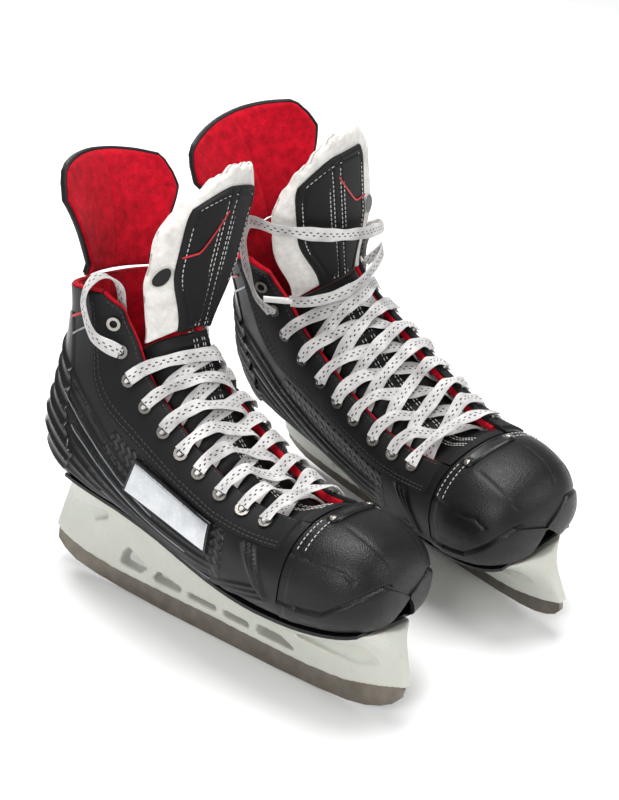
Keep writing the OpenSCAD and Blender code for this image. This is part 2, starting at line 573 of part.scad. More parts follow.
ENDS_LEFT = [
    [[[47, 72, 190], [1, 0, 0]], [[48, 75, 204], [1, 0, 0]], [[48, 76, 220], [1, 0, 0]],
     [[47.5, 74, 236], [1, 0, 0]], [[47, 68, 248], [1, -0.4, 0]], [[46.5, 56, 253], [1, -0.8, 0]],
     [[42, 42, 251], [0.8, -1, 0]], [[30, 33, 246], [0.4, -1, 0]], [[16, 27, 240], [0.2, -1, 0]],
     [[0, 26, 233], [0, -1, 0]], [[-16, 29, 226], [-0.2, -1, 0]], [[-31, 36, 219], [-0.4, -1, 0]],
     [[-43, 46, 212], [-0.8, -1, 0]], [[-47, 58, 206], [-1, -0.3, 0]], [[-48, 70, 198], [-1, 0, 0]],
     [[-48.5, 80, 184], [-1, 0, 0]], [[-49, 86, 166], [-1, 0.1, 0]], [[-50, 90, 146], [-1, 0.2, 0]],
     [[-51, 92, 126], [-1, 0.2, 0]], [[-51.5, 92, 106], [-1, 0.2, 0]]],
    [[[-47, 62, 184], [-1, -0.4, 0]], [[-44, 52, 192], [-0.8, -0.8, 0]], [[-34, 42, 194], [-0.5, -1, 0]],
     [[-18, 34, 192], [-0.2, -1, 0]], [[0, 31, 190], [0, -1, 0]], [[16, 34, 190], [0.2, -1, 0]],
     [[28, 41, 190], [0.5, -1, 0]], [[36, 50, 191], [0.8, -0.8, 0]]]];
tip_len = 18;
tip_r = 1.9;
// First route hangs from the lateral side on the right skate and from the medial side on the left
function end_side(which, i) = which == "right" ? (i == 0 ? -1 : 1) : (i == 0 ? 1 : -1);
function end_stops(which, i) =
    let (u = EYELET_U[LACED], route = (which == "right" ? ENDS_RIGHT : ENDS_LEFT)[i])
    concat([on_boot(u, end_side(which, i) * eyelet_t(u), lace_out + 0.2)],
        [for (p = route) [p[0], unit(p[1]), lace_w, lace_t]]);
module lace_ends(which) {
    color("white") for (i = [0, 1]) ribbon(end_stops(which, i));
}
module lace_tips(which) {
    color("white") for (i = [0, 1]) {
        stops = end_stops(which, i);
        last = stops[len(stops) - 1][0];
        along = unit(last - stops[len(stops) - 2][0]);
        translate(last) rotate([0, acos(along.z), atan2(along.y, along.x)]) cylinder(r = tip_r, h = tip_len);
    }
}

// ---- Placing the two skates ----
function reach(x, y, z) = (x * cos(lean) + z * sin(lean)) * cos(toe_in) - y * sin(toe_in);
half_stance = pair_gap / 2 + max(reach(X(tongue_half), Y(30), Z(262)),
    reach(X(guard_w / 2), Y(123), Z(262)), reach(X(46), Y(-100), Z(90)));
centre_y = 1.8;                 // puts the origin midway between toe and heel
module set_down(which) {
    s = which == "right" ? -1 : 1;
    translate([s * half_stance, centre_y - s * stagger / 2, steel_t / 2 * sin(lean)])
        rotate([0, 0, -s * toe_in]) rotate([0, -s * lean, 0])
        mirror([which == "right" ? 0 : 1, 0, 0]) children();
}

for (s = SIDES) {
    set_down(s) runner();
    set_down(s) runner_bolts();
    set_down(s) barrel_nuts();
    set_down(s) holder();
    set_down(s) holder_screws();
    set_down(s) outsole();
    set_down(s) insole_board();
    set_down(s) footbed();
    set_down(s) toe_cap();
    set_down(s) toe_plate();
    set_down(s) quarter_lateral();
    set_down(s) quarter_medial();
    set_down(s) side_panels();
    set_down(s) side_badge();
    set_down(s) heel_counter();
    set_down(s) eyestay_lateral();
    set_down(s) eyestay_medial();
    set_down(s) eyelets();
    set_down(s) liner();
    set_down(s) ankle_pads();
    set_down(s) tongue_base();
    set_down(s) tongue_felt(s);
    set_down(s) tongue_face(s);
    set_down(s) size_tag(s);
    set_down(s) guard_shell();
    set_down(s) guard_felt();
    set_down(s) lace();
    set_down(s) lace_ends(s);
    set_down(s) lace_tips(s);
}
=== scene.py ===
# %% [markdown]
# A pair of ice hockey skates, standing on their runners and leaning on each other.
# The imported model gives the pieces, their bodies and their joints. This script gives them their looks.
# It starts by loading that model as a fixed frame, in metres, and reads one part's box to compare its place.

# %% Load the frame
import math
import bpy
import numpy as np
from mathutils import Matrix, Vector


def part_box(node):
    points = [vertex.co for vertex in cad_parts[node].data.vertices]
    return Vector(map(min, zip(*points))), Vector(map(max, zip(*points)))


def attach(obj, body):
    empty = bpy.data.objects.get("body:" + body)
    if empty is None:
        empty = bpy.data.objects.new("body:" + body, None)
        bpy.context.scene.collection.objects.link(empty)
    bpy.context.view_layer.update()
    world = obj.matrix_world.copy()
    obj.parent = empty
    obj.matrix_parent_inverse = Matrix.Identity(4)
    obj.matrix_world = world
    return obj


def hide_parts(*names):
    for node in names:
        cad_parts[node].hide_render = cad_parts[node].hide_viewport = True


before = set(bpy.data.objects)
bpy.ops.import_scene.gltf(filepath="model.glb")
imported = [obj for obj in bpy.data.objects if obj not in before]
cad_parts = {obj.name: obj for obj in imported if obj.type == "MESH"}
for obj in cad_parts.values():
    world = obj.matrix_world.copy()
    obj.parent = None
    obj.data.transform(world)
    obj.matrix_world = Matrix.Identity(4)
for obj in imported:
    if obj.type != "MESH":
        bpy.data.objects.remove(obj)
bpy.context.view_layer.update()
SIDES = ("right", "left")
MM = 0.001

# %% [markdown]
# Both skates are drawn once, in an upright frame in millimetres: x across with the outer side negative,
# y from toe to heel and z up from the ice. Each is then leaned, turned and set in its place.
# The left skate is the mirror image of the right one, so its faces are turned round.

# %% Where each skate stands
LEAN, TOE_IN, STAGGER, HALF_STANCE, CENTRE_Y, STEEL_T = 11.2, 6.7, 6.0, 91.2, 1.8, 3.0


def placed(side):
    s = -1 if side == "right" else 1
    where = Matrix.Translation((s * HALF_STANCE, CENTRE_Y - s * STAGGER / 2,
        STEEL_T / 2 * math.sin(math.radians(LEAN))))
    turn = (Matrix.Rotation(math.radians(-s * TOE_IN), 4, "Z")
            @ Matrix.Rotation(math.radians(-s * LEAN), 4, "Y"))
    mirror = Matrix.Diagonal((1 if side == "right" else -1, 1, 1, 1))
    return Matrix.Scale(MM, 4) @ where @ turn @ mirror


def to_world(points, side):
    p = np.asarray(points, float)
    m = np.array(placed(side))
    return p @ m[:3, :3].T + m[:3, 3]


low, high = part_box("right_runner")
print("right runner stands at x %.4f m, and the frame has it at %.4f m"
      % (to_world([[0, 0, 10]], "right")[0][0], (low[0] + high[0]) / 2))

# %% [markdown]
# A product shot of shoes is taken from a little above, with a long lens so that the near boot isn't swollen.
# The camera goes first, because the free ends of the laces are checked against what it sees.

# %% Camera
AZIMUTH, ELEVATION, DISTANCE, LENS, SENSOR, ROLL = -43.91, 28.23, 1.1813, 83.5, 36, 0.47
TARGET = Vector((-0.0022, 0.0094, 0.1362))
az, el = math.radians(AZIMUTH), math.radians(ELEVATION)
away = Vector((math.sin(az) * math.cos(el), -math.cos(az) * math.cos(el), math.sin(el)))
camera = bpy.data.objects.new("camera", bpy.data.cameras.new("camera"))
bpy.context.scene.collection.objects.link(camera)
camera.data.lens = LENS
camera.data.sensor_width = SENSOR
camera.data.sensor_fit = "AUTO"
camera.location = TARGET + away * DISTANCE
camera.rotation_euler = (away.to_track_quat("Z", "Y")
                         @ Matrix.Rotation(math.radians(ROLL), 4, "Z").to_quaternion()).to_euler()
camera.data.clip_start = 0.05
bpy.context.scene.camera = camera
print("camera at", [round(v, 3) for v in camera.location])

# %% [markdown]
# The boot is a moulded shell. Its form is a row of rounded outlines that run from the toe tip along the sole
# and up the heel to the collar, joined by smooth curves. A point is found by u, its place along that row,
# and t, its turn round the outline: 0 on top, -90 outside, 90 inside and 180 underneath. Every layer
# of the boot is a height above or below this face, which is how a last carries all the patterns of a shoe.

# %% The boot's form
STATIONS = np.array([
    [-141.5, 84.0, -141.5, 85.4, 0.8, 0.8, 0.50, 2.2, 2.2],
    [-140.8, 76.5, -140.8, 95.0, 13, 13, 0.50, 2.2, 2.2],
    [-138.0, 68.5, -138.0, 104, 25, 25, 0.46, 2.4, 2.2],
    [-130.5, 63.0, -130.5, 113, 35, 35, 0.42, 3.0, 2.3],
    [-118.0, 59.5, -118.0, 119, 43, 42, 0.38, 3.4, 2.3],
    [-99.0, 56.5, -100.0, 122, 47, 46, 0.38, 3.6, 2.3],
    [-78.0, 54.2, -79.0, 119, 49, 46, 0.39, 3.6, 2.3],
    [-52.0, 53.2, -52.0, 118, 48, 46, 0.40, 3.4, 2.4],
    [-24.0, 54.8, -25.0, 126, 47, 45, 0.39, 3.2, 2.8],
    [4.0, 59.5, -2.0, 137, 46, 44, 0.37, 3.0, 3.1],
    [32.0, 65.5, 15.0, 148, 46, 44, 0.35, 2.8, 3.3],
    [64.0, 70.5, 30.0, 158, 45, 44, 0.34, 2.7, 3.4],
    [99.0, 73.0, 41.0, 167, 44, 44, 0.36, 2.6, 3.4],
    [127.0, 77.0, 48.0, 176, 43, 43, 0.40, 2.4, 3.2],
    [142.0, 103.0, 53.0, 186, 42, 42, 0.45, 2.3, 3.0],
    [136.5, 135.0, 57.0, 194, 41, 42, 0.48, 2.3, 2.8],
    [129.0, 165.0, 60.0, 201, 42, 42, 0.48, 2.4, 2.6],
    [124.0, 190.0, 62.0, 207, 44, 43, 0.48, 2.7, 2.6],
    [124.0, 207.0, 63.0, 214, 46, 44, 0.48, 2.8, 2.6]])
LAST = len(STATIONS) - 1


def station(u, k):
    v = np.clip(u, 0, LAST)
    i = np.minimum(np.floor(v), LAST - 1).astype(int)
    f = v - i
    a, b, c, d = (STATIONS[np.clip(i + j, 0, LAST), k] for j in (-1, 0, 1, 2))
    return 0.5 * (2 * b + (c - a) * f + (2 * a - 5 * b + 4 * c - d) * f**2 + (3 * b - a - 3 * c + d) * f**3)


def form(u, t):
    u, t = np.broadcast_arrays(np.asarray(u, float), np.asarray(t, float))
    t = np.where(t > 180, t - 360, np.where(t < -180, t + 360, t))
    side = np.where(t < 0, -1, 1)
    a = np.radians(90 - np.abs(t))
    by, bz, ty, tz = (station(u, k) for k in range(4))
    depth = np.hypot(ty - by, tz - bz)
    n = np.where(a < 0, station(u, 7), station(u, 8))
    ca, sa = np.maximum(np.abs(np.cos(a)), 1e-9), np.maximum(np.abs(np.sin(a)), 1e-9)
    r = (ca**n + sa**n) ** (-1 / n)
    middle = station(u, 6) * depth
    d = middle + np.where(a < 0, middle, depth - middle) * r * np.sin(a)
    x = side * np.where(side < 0, station(u, 4), station(u, 5)) * r * np.cos(a)
    return np.stack([x, by + (ty - by) / depth * d, bz + (tz - bz) / depth * d], -1)


def outward(u, t):
    n = np.cross(form(u, t + 0.5) - form(u, t - 0.5), form(u + 0.02, t) - form(u - 0.02, t))
    return n / np.maximum(np.linalg.norm(n, axis=-1, keepdims=True), 1e-9)


def skin(u, t, off=0.0):
    u, t = np.broadcast_arrays(np.asarray(u, float), np.asarray(t, float))
    off = np.broadcast_to(np.asarray(off, float), u.shape)
    return form(u, t) + off[..., None] * outward(u, t)


def smooth(v):
    f = np.clip(v, 0, 1)
    return f * f * (3 - 2 * f)


def ridge(distance, width):
    return np.exp(-((distance / width) ** 2))


print("the boot is %.0f mm long" % (form(14, 180)[1] - form(0, 0)[1]))

# %% [markdown]
# The layers through the boot's wall and the edges of its panels are the same as in the design:
# shell, lining, eyestay bands, eyelets and the tongue under the laces.

# %% Layers and edges
GAP, SHELL_T, LINER_T, OVERLAY_T, LACE_W, LACE_T = 0.3, 2.2, 2.5, 1.1, 8.5, 1.6
SHELL_IN = -SHELL_T
LINER_OUT = SHELL_IN - 1.5 * GAP
LINER_IN = LINER_OUT - LINER_T
BAND_TOP = GAP + OVERLAY_T
FLANGE_T = 0.7
FLANGE_TOP = BAND_TOP + 0.6 + FLANGE_T
WASHER_LOW = LINER_IN - 1.3 - FLANGE_T
LACE_OUT = FLANGE_TOP + 0.9 + LACE_T / 2
LACE_IN = WASHER_LOW - 0.9 - LACE_T / 2
TONGUE_TOP = LACE_IN - LACE_T / 2 - 0.6
SEAM_U, UNDER_T = 5.8, 152
EYELET_LINE = np.array([[5.6, 40], [6.8, 43], [8, 48], [9.5, 49], [11.5, 48], [13, 49], [14.4, 52],
    [16.1, 59], [18, 64]])
EYELET_U = [6.8, 7.43, 8.05, 8.8, 9.55, 10.4, 11.5, 13, 14.4, 16.1]
LACED = 8


def eyelet_t(u):
    return np.interp(u, EYELET_LINE[:, 0], EYELET_LINE[:, 1])


def open_t(u):
    return eyelet_t(u) - 11 + 16 * smooth((np.asarray(u, float) - 16.7) / 1.3)


def low_t(u):
    return UNDER_T + (179.7 - UNDER_T) * smooth((np.asarray(u, float) - 12.2) / 1.2)


def stay_t(u):
    return eyelet_t(u) + 18 + 6 * smooth((np.asarray(u, float) - 12) / 4)


def rise(u, t):
    share = np.clip(np.abs(t) / (open_t(u) - 1), 0, 1)
    return (20 * smooth((u - 8) / 4.5) + 3) * np.maximum(np.cos(np.pi / 2 * share), 0) ** 0.8


def tongue_off(u, t):
    seam = smooth((u - 6.0) / 1.1)
    return TONGUE_TOP * seam - 0.8 * (1 - seam) + rise(u, t) * smooth((u - 6.6) / 2)


# %% [markdown]
# A mesh piece here is a sheet with real thickness: a grid of outer points and a grid of inner points,
# closed round the rim. Each corner also gets a UV in millimetres, so a weave or a stitch has its true size.

# %% Make meshes from grids
def add_mesh(name, points, faces, side, body, uv=None, sharp=40):
    mesh = bpy.data.meshes.new(name)
    world = to_world(points, side)
    if side == "left":
        faces = [tuple(reversed(f)) for f in faces]
    mesh.from_pydata([tuple(p) for p in world], [], faces)
    if uv is not None:
        layer = mesh.uv_layers.new(name="UVMap")
        index = np.empty(len(mesh.loops), int)
        mesh.loops.foreach_get("vertex_index", index)
        layer.data.foreach_set("uv", np.asarray(uv, float)[index].ravel())
    mesh.validate()
    mesh.shade_smooth()
    mesh.set_sharp_from_angle(angle=math.radians(sharp))
    piece = bpy.data.objects.new(name, mesh)
    bpy.context.scene.collection.objects.link(piece)
    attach(piece, side + "_" + body)
    return piece


def grid_faces(m, n, start=0, flip=False):
    faces = []
    for i in range(m - 1):
        for j in range(n - 1):
            a = start + i * n + j
            quad = (a, a + n, a + n + 1, a + 1)
            faces.append(tuple(reversed(quad)) if flip else quad)
    return faces


def sheet_solid(outer, inner):
    """Points and faces of the closed solid between two grids."""
    m, n = outer.shape[:2]
    k = m * n
    faces = grid_faces(m, n) + grid_faces(m, n, k, True)
    rim = [j for j in range(n)] + [i * n + n - 1 for i in range(1, m)]
    rim += [(m - 1) * n + j for j in range(n - 2, -1, -1)] + [i * n for i in range(m - 2, 0, -1)]
    for a, b in zip(rim, rim[1:] + rim[:1]):
        faces.append((a, b, k + b, k + a))
    return np.concatenate([outer.reshape(-1, 3), inner.reshape(-1, 3)]), faces


def edge_steps(n, edge=0.05, fine=4):
    """Numbers from 0 to 1 that crowd at both ends, where an edge is rounded over."""
    near = edge * (np.linspace(0, 1, fine + 1)[:-1]) ** 1.5
    return np.concatenate([near, np.linspace(edge, 1 - edge, n), 1 - near[::-1]])


def rounded(distance, radius):
    f = np.clip(distance / radius, 0, 1)
    return np.sqrt(np.maximum(1 - (1 - f) ** 2, 0))


def wall_grid(u_from, u_to, t_from, t_to, rows, cols):
    """Grid of u and t between two edges."""
    u = u_from + (u_to - u_from) * edge_steps(rows, 0.03)[:, None]
    lo, hi = t_from(u), t_to(u)
    f = edge_steps(cols, 0.05)[None, :]
    t = lo + (hi - lo) * f
    return np.broadcast_to(u, t.shape), t


def layer(name, side, body, u, t, low, high, round_mm=0.8, detail=None, inner_detail=None):
    """A piece that lies on the boot's face between two heights, with its outer edges rounded over."""
    p = form(u, t)
    du = np.linalg.norm(np.diff(p, axis=0), axis=-1)
    dt = np.linalg.norm(np.diff(p, axis=1), axis=-1)
    along = np.vstack([np.zeros(p.shape[1]), np.cumsum(du, 0)])
    round_it = np.hstack([np.zeros((p.shape[0], 1)), np.cumsum(dt, 1)])
    edge = np.minimum.reduce([along, along[-1] - along, round_it, round_it[:, -1:] - round_it])
    soft = rounded(edge, round_mm) if round_mm else 1.0
    extra = 0.0 if detail is None else detail(u, t, p)
    top = low + (high - low + extra) * soft if round_mm else high + extra
    bottom = low + (0.0 if inner_detail is None else inner_detail(u, t, p))
    outer, inner = skin(u, t, top), skin(u, t, bottom + 0 * u)
    points, faces = sheet_solid(outer, inner)
    uv = np.stack([along, round_it], -1).reshape(-1, 2)
    return add_mesh(name, points, faces, side, body, np.vstack([uv, uv]))


print("layers from the lining at %.1f mm to the laces at %.1f mm" % (LINER_IN, LACE_OUT))

# %% [markdown]
# Materials are node trees made in code. One function turns a hex colour to linear light and one adds a node.
# Every pattern's scale comes from a size in millimetres.

# %% Material helpers
def linear(hex_colour):
    rgb = [int(hex_colour[i:i + 2], 16) / 255 for i in (1, 3, 5)]
    return tuple(c / 12.92 if c <= 0.04045 else ((c + 0.055) / 1.055) ** 2.4 for c in rgb) + (1.0,)


def add(tree, kind, settings=None, **links):
    """Adds a node: settings are its properties or socket values, links its inputs from other sockets."""
    node = tree.nodes.new(kind)
    for key, value in (settings or {}).items():
        if key in node.inputs:
            node.inputs[key].default_value = value
        else:
            setattr(node, key, value)
    for key, source in links.items():
        tree.links.new(source, node.inputs[key])
    return node


def material(name, **shader):
    made = bpy.data.materials.new(name)
    made.use_nodes = True
    tree = made.node_tree
    tree.nodes.clear()
    out = tree.nodes.new("ShaderNodeOutputMaterial")
    bsdf = add(tree, "ShaderNodeBsdfPrincipled", {k.replace("_", " "): v for k, v in shader.items()})
    tree.links.new(bsdf.outputs[0], out.inputs[0])
    place = tree.nodes.new("ShaderNodeTexCoord")
    return made, tree, bsdf, place


def noise(tree, where, size_mm, detail=3.0, roughness=0.5, stretch=(1, 1, 1), per_metre=True):
    """Noise whose blobs are about size_mm across."""
    scale = (1 / (size_mm * MM)) if per_metre else 1 / size_mm
    mapped = add(tree, "ShaderNodeMapping", {"Scale": stretch}, Vector=where)
    return add(tree, "ShaderNodeTexNoise", {"Scale": scale, "Detail": detail, "Roughness": roughness},
               Vector=mapped.outputs[0])


def mix_colour(tree, factor, one, two):
    node = add(tree, "ShaderNodeMix", {"data_type": "RGBA"})
    tree.links.new(factor, node.inputs[0])
    node.inputs[6].default_value, node.inputs[7].default_value = one, two
    return node.outputs[2]


def ramp(tree, source, start, end, low=0.0, high=1.0):
    limits = {"From Min": start, "From Max": end, "To Min": low, "To Max": high}
    return add(tree, "ShaderNodeMapRange", limits, Value=source).outputs[0]


def tint(tree, bsdf, factor, dark, light):
    """Colours a material between two hex tones."""
    tree.links.new(mix_colour(tree, factor, linear(dark), linear(light)), bsdf.inputs["Base Color"])


def soiled(tree, factor, clean, dirt):
    """Lays a hex tone over a colour where the factor is high."""
    node = add(tree, "ShaderNodeMix", {"data_type": "RGBA"})
    tree.links.new(factor, node.inputs[0])
    tree.links.new(clean, node.inputs[6])
    node.inputs[7].default_value = linear(dirt)
    return node.outputs[2]


def rough(tree, bsdf, source, low, high, start=0.3, end=0.7):
    tree.links.new(ramp(tree, source, start, end, low, high), bsdf.inputs["Roughness"])


def bump(tree, bsdf, height, depth_mm, before=None):
    node = add(tree, "ShaderNodeBump", {"Strength": 1.0, "Distance": depth_mm * MM}, Height=height)
    if before:
        tree.links.new(before.outputs[0], node.inputs["Normal"])
    tree.links.new(node.outputs[0], bsdf.inputs["Normal"])
    return node


def math_node(tree, operation, a, b=None):
    node = add(tree, "ShaderNodeMath", {"operation": operation})
    for i, v in enumerate((a, b)):
        if v is None:
            continue
        if isinstance(v, (int, float)):
            node.inputs[i].default_value = v
        else:
            tree.links.new(v, node.inputs[i])
    return node.outputs[0]


def mottled(name, dark, light, size_mm, detail, depth_mm=0.0, **shader):
    """A material whose colour drifts between two tones over size_mm."""
    made, tree, bsdf, place = material(name, **shader)
    cloud = noise(tree, place.outputs["Object"], size_mm, detail)
    tint(tree, bsdf, cloud.outputs[0], dark, light)
    if depth_mm:
        bump(tree, bsdf, cloud.outputs[0], depth_mm)
    return made


# %% [markdown]
# The black parts are four different plastics. The toe cap is injection moulded with a fine pebbled texture,
# the shell is a smoother satin, the heel overlay is glossy soft plastic, and the bands round the eyelets
# and the tongue are synthetic leather with a matt nap. The eye tells them apart by their highlights.

# %% Black plastics and leather
def pebbled_plastic():
    made, tree, bsdf, place = material("toe_cap_moulded_pebbled", Roughness=0.42, Specular_IOR_Level=0.32)
    cells = add(tree, "ShaderNodeTexVoronoi", {"Scale": 1 / (0.9 * MM)}, Vector=place.outputs["Object"])
    cloud = noise(tree, place.outputs["Object"], 30, 4)
    scuff = noise(tree, place.outputs["Object"], 3, 6, 0.7, (1, 0.25, 1))
    tint(tree, bsdf, ramp(tree, cloud.outputs[0], 0.35, 0.7), "#0a0a0b", "#121213")
    rough(tree, bsdf, scuff.outputs[0], 0.34, 0.48, 0.35)
    bump(tree, bsdf, cells.outputs["Distance"], 0.16)
    return made


def satin_plastic():
    made, tree, bsdf, place = material("shell_moulded_satin", Roughness=0.4, Specular_IOR_Level=0.35)
    grain = noise(tree, place.outputs["Object"], 0.8, 4)
    cloud = noise(tree, place.outputs["Object"], 25, 3)
    tint(tree, bsdf, cloud.outputs[0], "#08080a", "#0f0f11")
    rough(tree, bsdf, cloud.outputs[0], 0.36, 0.5)
    bump(tree, bsdf, grain.outputs[0], 0.08)
    return made


def glossy_plastic():
    made, tree, bsdf, place = material("heel_overlay_glossy", Roughness=0.24, Specular_IOR_Level=0.5)
    cloud = noise(tree, place.outputs["Object"], 12, 4)
    grain = noise(tree, place.outputs["Object"], 1.6, 3)
    tint(tree, bsdf, cloud.outputs[0], "#060607", "#0c0c0e")
    rough(tree, bsdf, cloud.outputs[0], 0.2, 0.34)
    bump(tree, bsdf, grain.outputs[0], 0.04)
    return made


def synthetic_leather():
    made, tree, bsdf, place = material("eyestay_synthetic_leather", Roughness=0.62, Specular_IOR_Level=0.25)
    pores = add(tree, "ShaderNodeTexVoronoi", {"Scale": 1 / (1.3 * MM), "feature": "DISTANCE_TO_EDGE"},
                Vector=place.outputs["Object"])
    nap = noise(tree, place.outputs["Object"], 0.6, 5, 0.6)
    cloud = noise(tree, place.outputs["Object"], 18, 4)
    tint(tree, bsdf, ramp(tree, cloud.outputs[0], 0.62, 0.85, 0, 0.5), "#0f0f10", "#1c1b1c")
    rough(tree, bsdf, nap.outputs[0], 0.52, 0.72)
    first = bump(tree, bsdf, pores.outputs["Distance"], 0.10)
    bump(tree, bsdf, nap.outputs[0], 0.10, first)
    return made


def woven_panel():
    """A coarse 2 by 2 weave, drawn 4 mm a cell so that it shows, pressed into soft plastic."""
    made, tree, bsdf, place = material("side_panel_woven_look", Roughness=0.36, Specular_IOR_Level=0.4)
    turned = add(tree, "ShaderNodeMapping", {"Rotation": (0, 0, math.radians(45))},
        Vector=place.outputs["UV"])
    split = add(tree, "ShaderNodeSeparateXYZ", None, Vector=turned.outputs[0])
    cell_mm = 4.2
    x = math_node(tree, "MULTIPLY", split.outputs[0], 1 / cell_mm)
    y = math_node(tree, "MULTIPLY", split.outputs[1], 1 / cell_mm)
    check = add(tree, "ShaderNodeTexChecker", {"Scale": 1 / cell_mm}, Vector=turned.outputs[0])
    wave_x = math_node(tree, "ABSOLUTE", math_node(tree, "SINE", math_node(tree, "MULTIPLY", x, math.pi)))
    wave_y = math_node(tree, "ABSOLUTE", math_node(tree, "SINE", math_node(tree, "MULTIPLY", y, math.pi)))
    tint(tree, bsdf, check.outputs["Fac"], "#070708", "#17171a")
    over = math_node(tree, "MULTIPLY", check.outputs["Fac"], wave_x)
    other = math_node(tree, "SUBTRACT", 1.0, check.outputs["Fac"])
    bump(tree, bsdf, math_node(tree, "ADD", over, math_node(tree, "MULTIPLY", other, wave_y)), 0.5)
    return made


PEBBLED, SATIN, GLOSSY, LEATHER, WOVEN = (
    pebbled_plastic(), satin_plastic(), glossy_plastic(), synthetic_leather(), woven_panel())
print("black finishes:", [m.name for m in (PEBBLED, SATIN, GLOSSY, LEATHER, WOVEN)])

# %% [markdown]
# Felt is a mat of short fibres, so it has no hard highlight, a soft sheen at its rim and a mottled colour.
# The lining is red, and the tongue's is white and a little soiled where hands pull on it.
# A lace is a flat plait with two rows of black tracer stitches along its middle.

# %% Felts and laces
def felt(name, dark, light, sheen, soil=None):
    made, tree, bsdf, place = material(name, Roughness=0.95, Sheen_Weight=sheen, Sheen_Roughness=0.5,
                                       Specular_IOR_Level=0.12)
    fibres = noise(tree, place.outputs["Object"], 1.1, 6, 0.7)
    tufts = noise(tree, place.outputs["Object"], 6, 5, 0.65)
    colour = mix_colour(tree, ramp(tree, tufts.outputs[0], 0.3, 0.7), linear(dark), linear(light))
    if soil:
        patch = noise(tree, place.outputs["Object"], 22, 5, 0.6)
        colour = soiled(tree, ramp(tree, patch.outputs[0], 0.5, 0.8, 0, 0.55), colour, soil)
    tree.links.new(colour, bsdf.inputs["Base Color"])
    first = bump(tree, bsdf, tufts.outputs[0], 0.5)
    bump(tree, bsdf, fibres.outputs[0], 0.45, first)
    return made


def plaited_lace():
    made, tree, bsdf, place = material("lace_flat_plaited", Roughness=0.88, Sheen_Weight=0.25,
                                       Sheen_Roughness=0.5, Specular_IOR_Level=0.25)
    split = add(tree, "ShaderNodeSeparateXYZ", None, Vector=place.outputs["UV"])
    across, along = split.outputs[0], split.outputs[1]
    from_middle = math_node(tree, "ABSOLUTE", across)
    row_mm, row_half, dash_mm = 0.9, 0.42, 4.6
    in_row = math_node(tree, "LESS_THAN", math_node(tree, "ABSOLUTE",
        math_node(tree, "SUBTRACT", from_middle, row_mm)), row_half)
    shifted = math_node(tree, "ADD", along, math_node(tree, "MULTIPLY", math_node(tree, "SIGN", across),
        dash_mm / 4))
    beat = math_node(tree, "FRACT", math_node(tree, "DIVIDE", shifted, dash_mm))
    dash = math_node(tree, "MULTIPLY", in_row, math_node(tree, "LESS_THAN", beat, 0.36))
    patch = noise(tree, place.outputs["Object"], 14, 4)
    cotton = mix_colour(tree, ramp(tree, patch.outputs[0], 0.35, 0.75), linear("#e2e0de"),
                        linear("#a9a6a4"))
    tree.links.new(soiled(tree, dash, cotton, "#1c1c22"), bsdf.inputs["Base Color"])
    thread_mm = 1.1
    slope = math_node(tree, "ADD", math_node(tree, "MULTIPLY", from_middle, 0.9), along)
    plait = math_node(tree, "ABSOLUTE", math_node(tree, "SINE",
        math_node(tree, "MULTIPLY", slope, math.pi / thread_mm)))
    fuzz = noise(tree, place.outputs["Object"], 0.8, 5, 0.7)
    first = bump(tree, bsdf, plait, 0.32)
    bump(tree, bsdf, fuzz.outputs[0], 0.25, first)
    return made


RED_FELT = felt("lining_red_felt", "#8c0416", "#c20a22", 0.04)
WHITE_FELT = felt("tongue_white_felt", "#cfccc7", "#eeebe6", 0.2, "#a3988a")
LACE = plaited_lace()
print("felts and lace ready")

# %% [markdown]
# The blade holder is injection-moulded nylon: off-white and a little see-through, with a satin skin.
# The runner is stainless steel, ground along its length, so its highlight is drawn out crosswise.
# Eyelets are nickel-plated brass, dulled by use, and the side badge is silver film under clear plastic.

# %% Nylon, steel and nickel
def nylon():
    made, tree, bsdf, place = material("holder_moulded_nylon", Roughness=0.38, Subsurface_Weight=0.25,
                                       Subsurface_Scale=0.004, IOR=1.53)
    cloud = noise(tree, place.outputs["Object"], 40, 3)
    dirt = noise(tree, place.outputs["Object"], 5, 6, 0.7)
    scratch = noise(tree, place.outputs["Object"], 1.2, 4, 0.6, (1, 0.06, 1))
    tone = mix_colour(tree, cloud.outputs[0], linear("#b4b6ac"), linear("#c9cac1"))
    grimy = soiled(tree, ramp(tree, dirt.outputs[0], 0.58, 0.8, 0, 0.45), tone, "#8f8d82")
    tree.links.new(grimy, bsdf.inputs["Base Color"])
    rough(tree, bsdf, dirt.outputs[0], 0.3, 0.48)
    bump(tree, bsdf, scratch.outputs[0], 0.06)
    return made


def metal(name, dark, light, roughness, stretch=(1, 1, 1), grain_mm=0.5, depth=0.03):
    made, tree, bsdf, place = material(name, Metallic=1.0, Roughness=roughness)
    lines = noise(tree, place.outputs["Object"], grain_mm, 4, 0.6, stretch)
    cloud = noise(tree, place.outputs["Object"], 9, 4)
    tint(tree, bsdf, cloud.outputs[0], dark, light)
    rough(tree, bsdf, lines.outputs[0], roughness - 0.08, roughness + 0.12)
    bump(tree, bsdf, lines.outputs[0], depth)
    return made


STEEL = metal("runner_ground_steel", "#5b554e", "#8d867c", 0.38, (1, 0.03, 1), 0.7)
NICKEL = metal("eyelet_worn_nickel", "#85807a", "#c2bdb5", 0.3)
ZINC = metal("screw_zinc_plated", "#9a9a98", "#c6c6c2", 0.3)
SILVER = metal("badge_silver_film", "#b9bcc0", "#e4e6e8", 0.32, (1, 1, 1), 2, 0.005)
NYLON = nylon()
print("hard finishes ready")


# %% [markdown]
# Stitching is thread that dips in and out of the leather, so each stitch is a small rounded bar on its face.
# The function walks along a line of points and lays a bar on every stitch length.

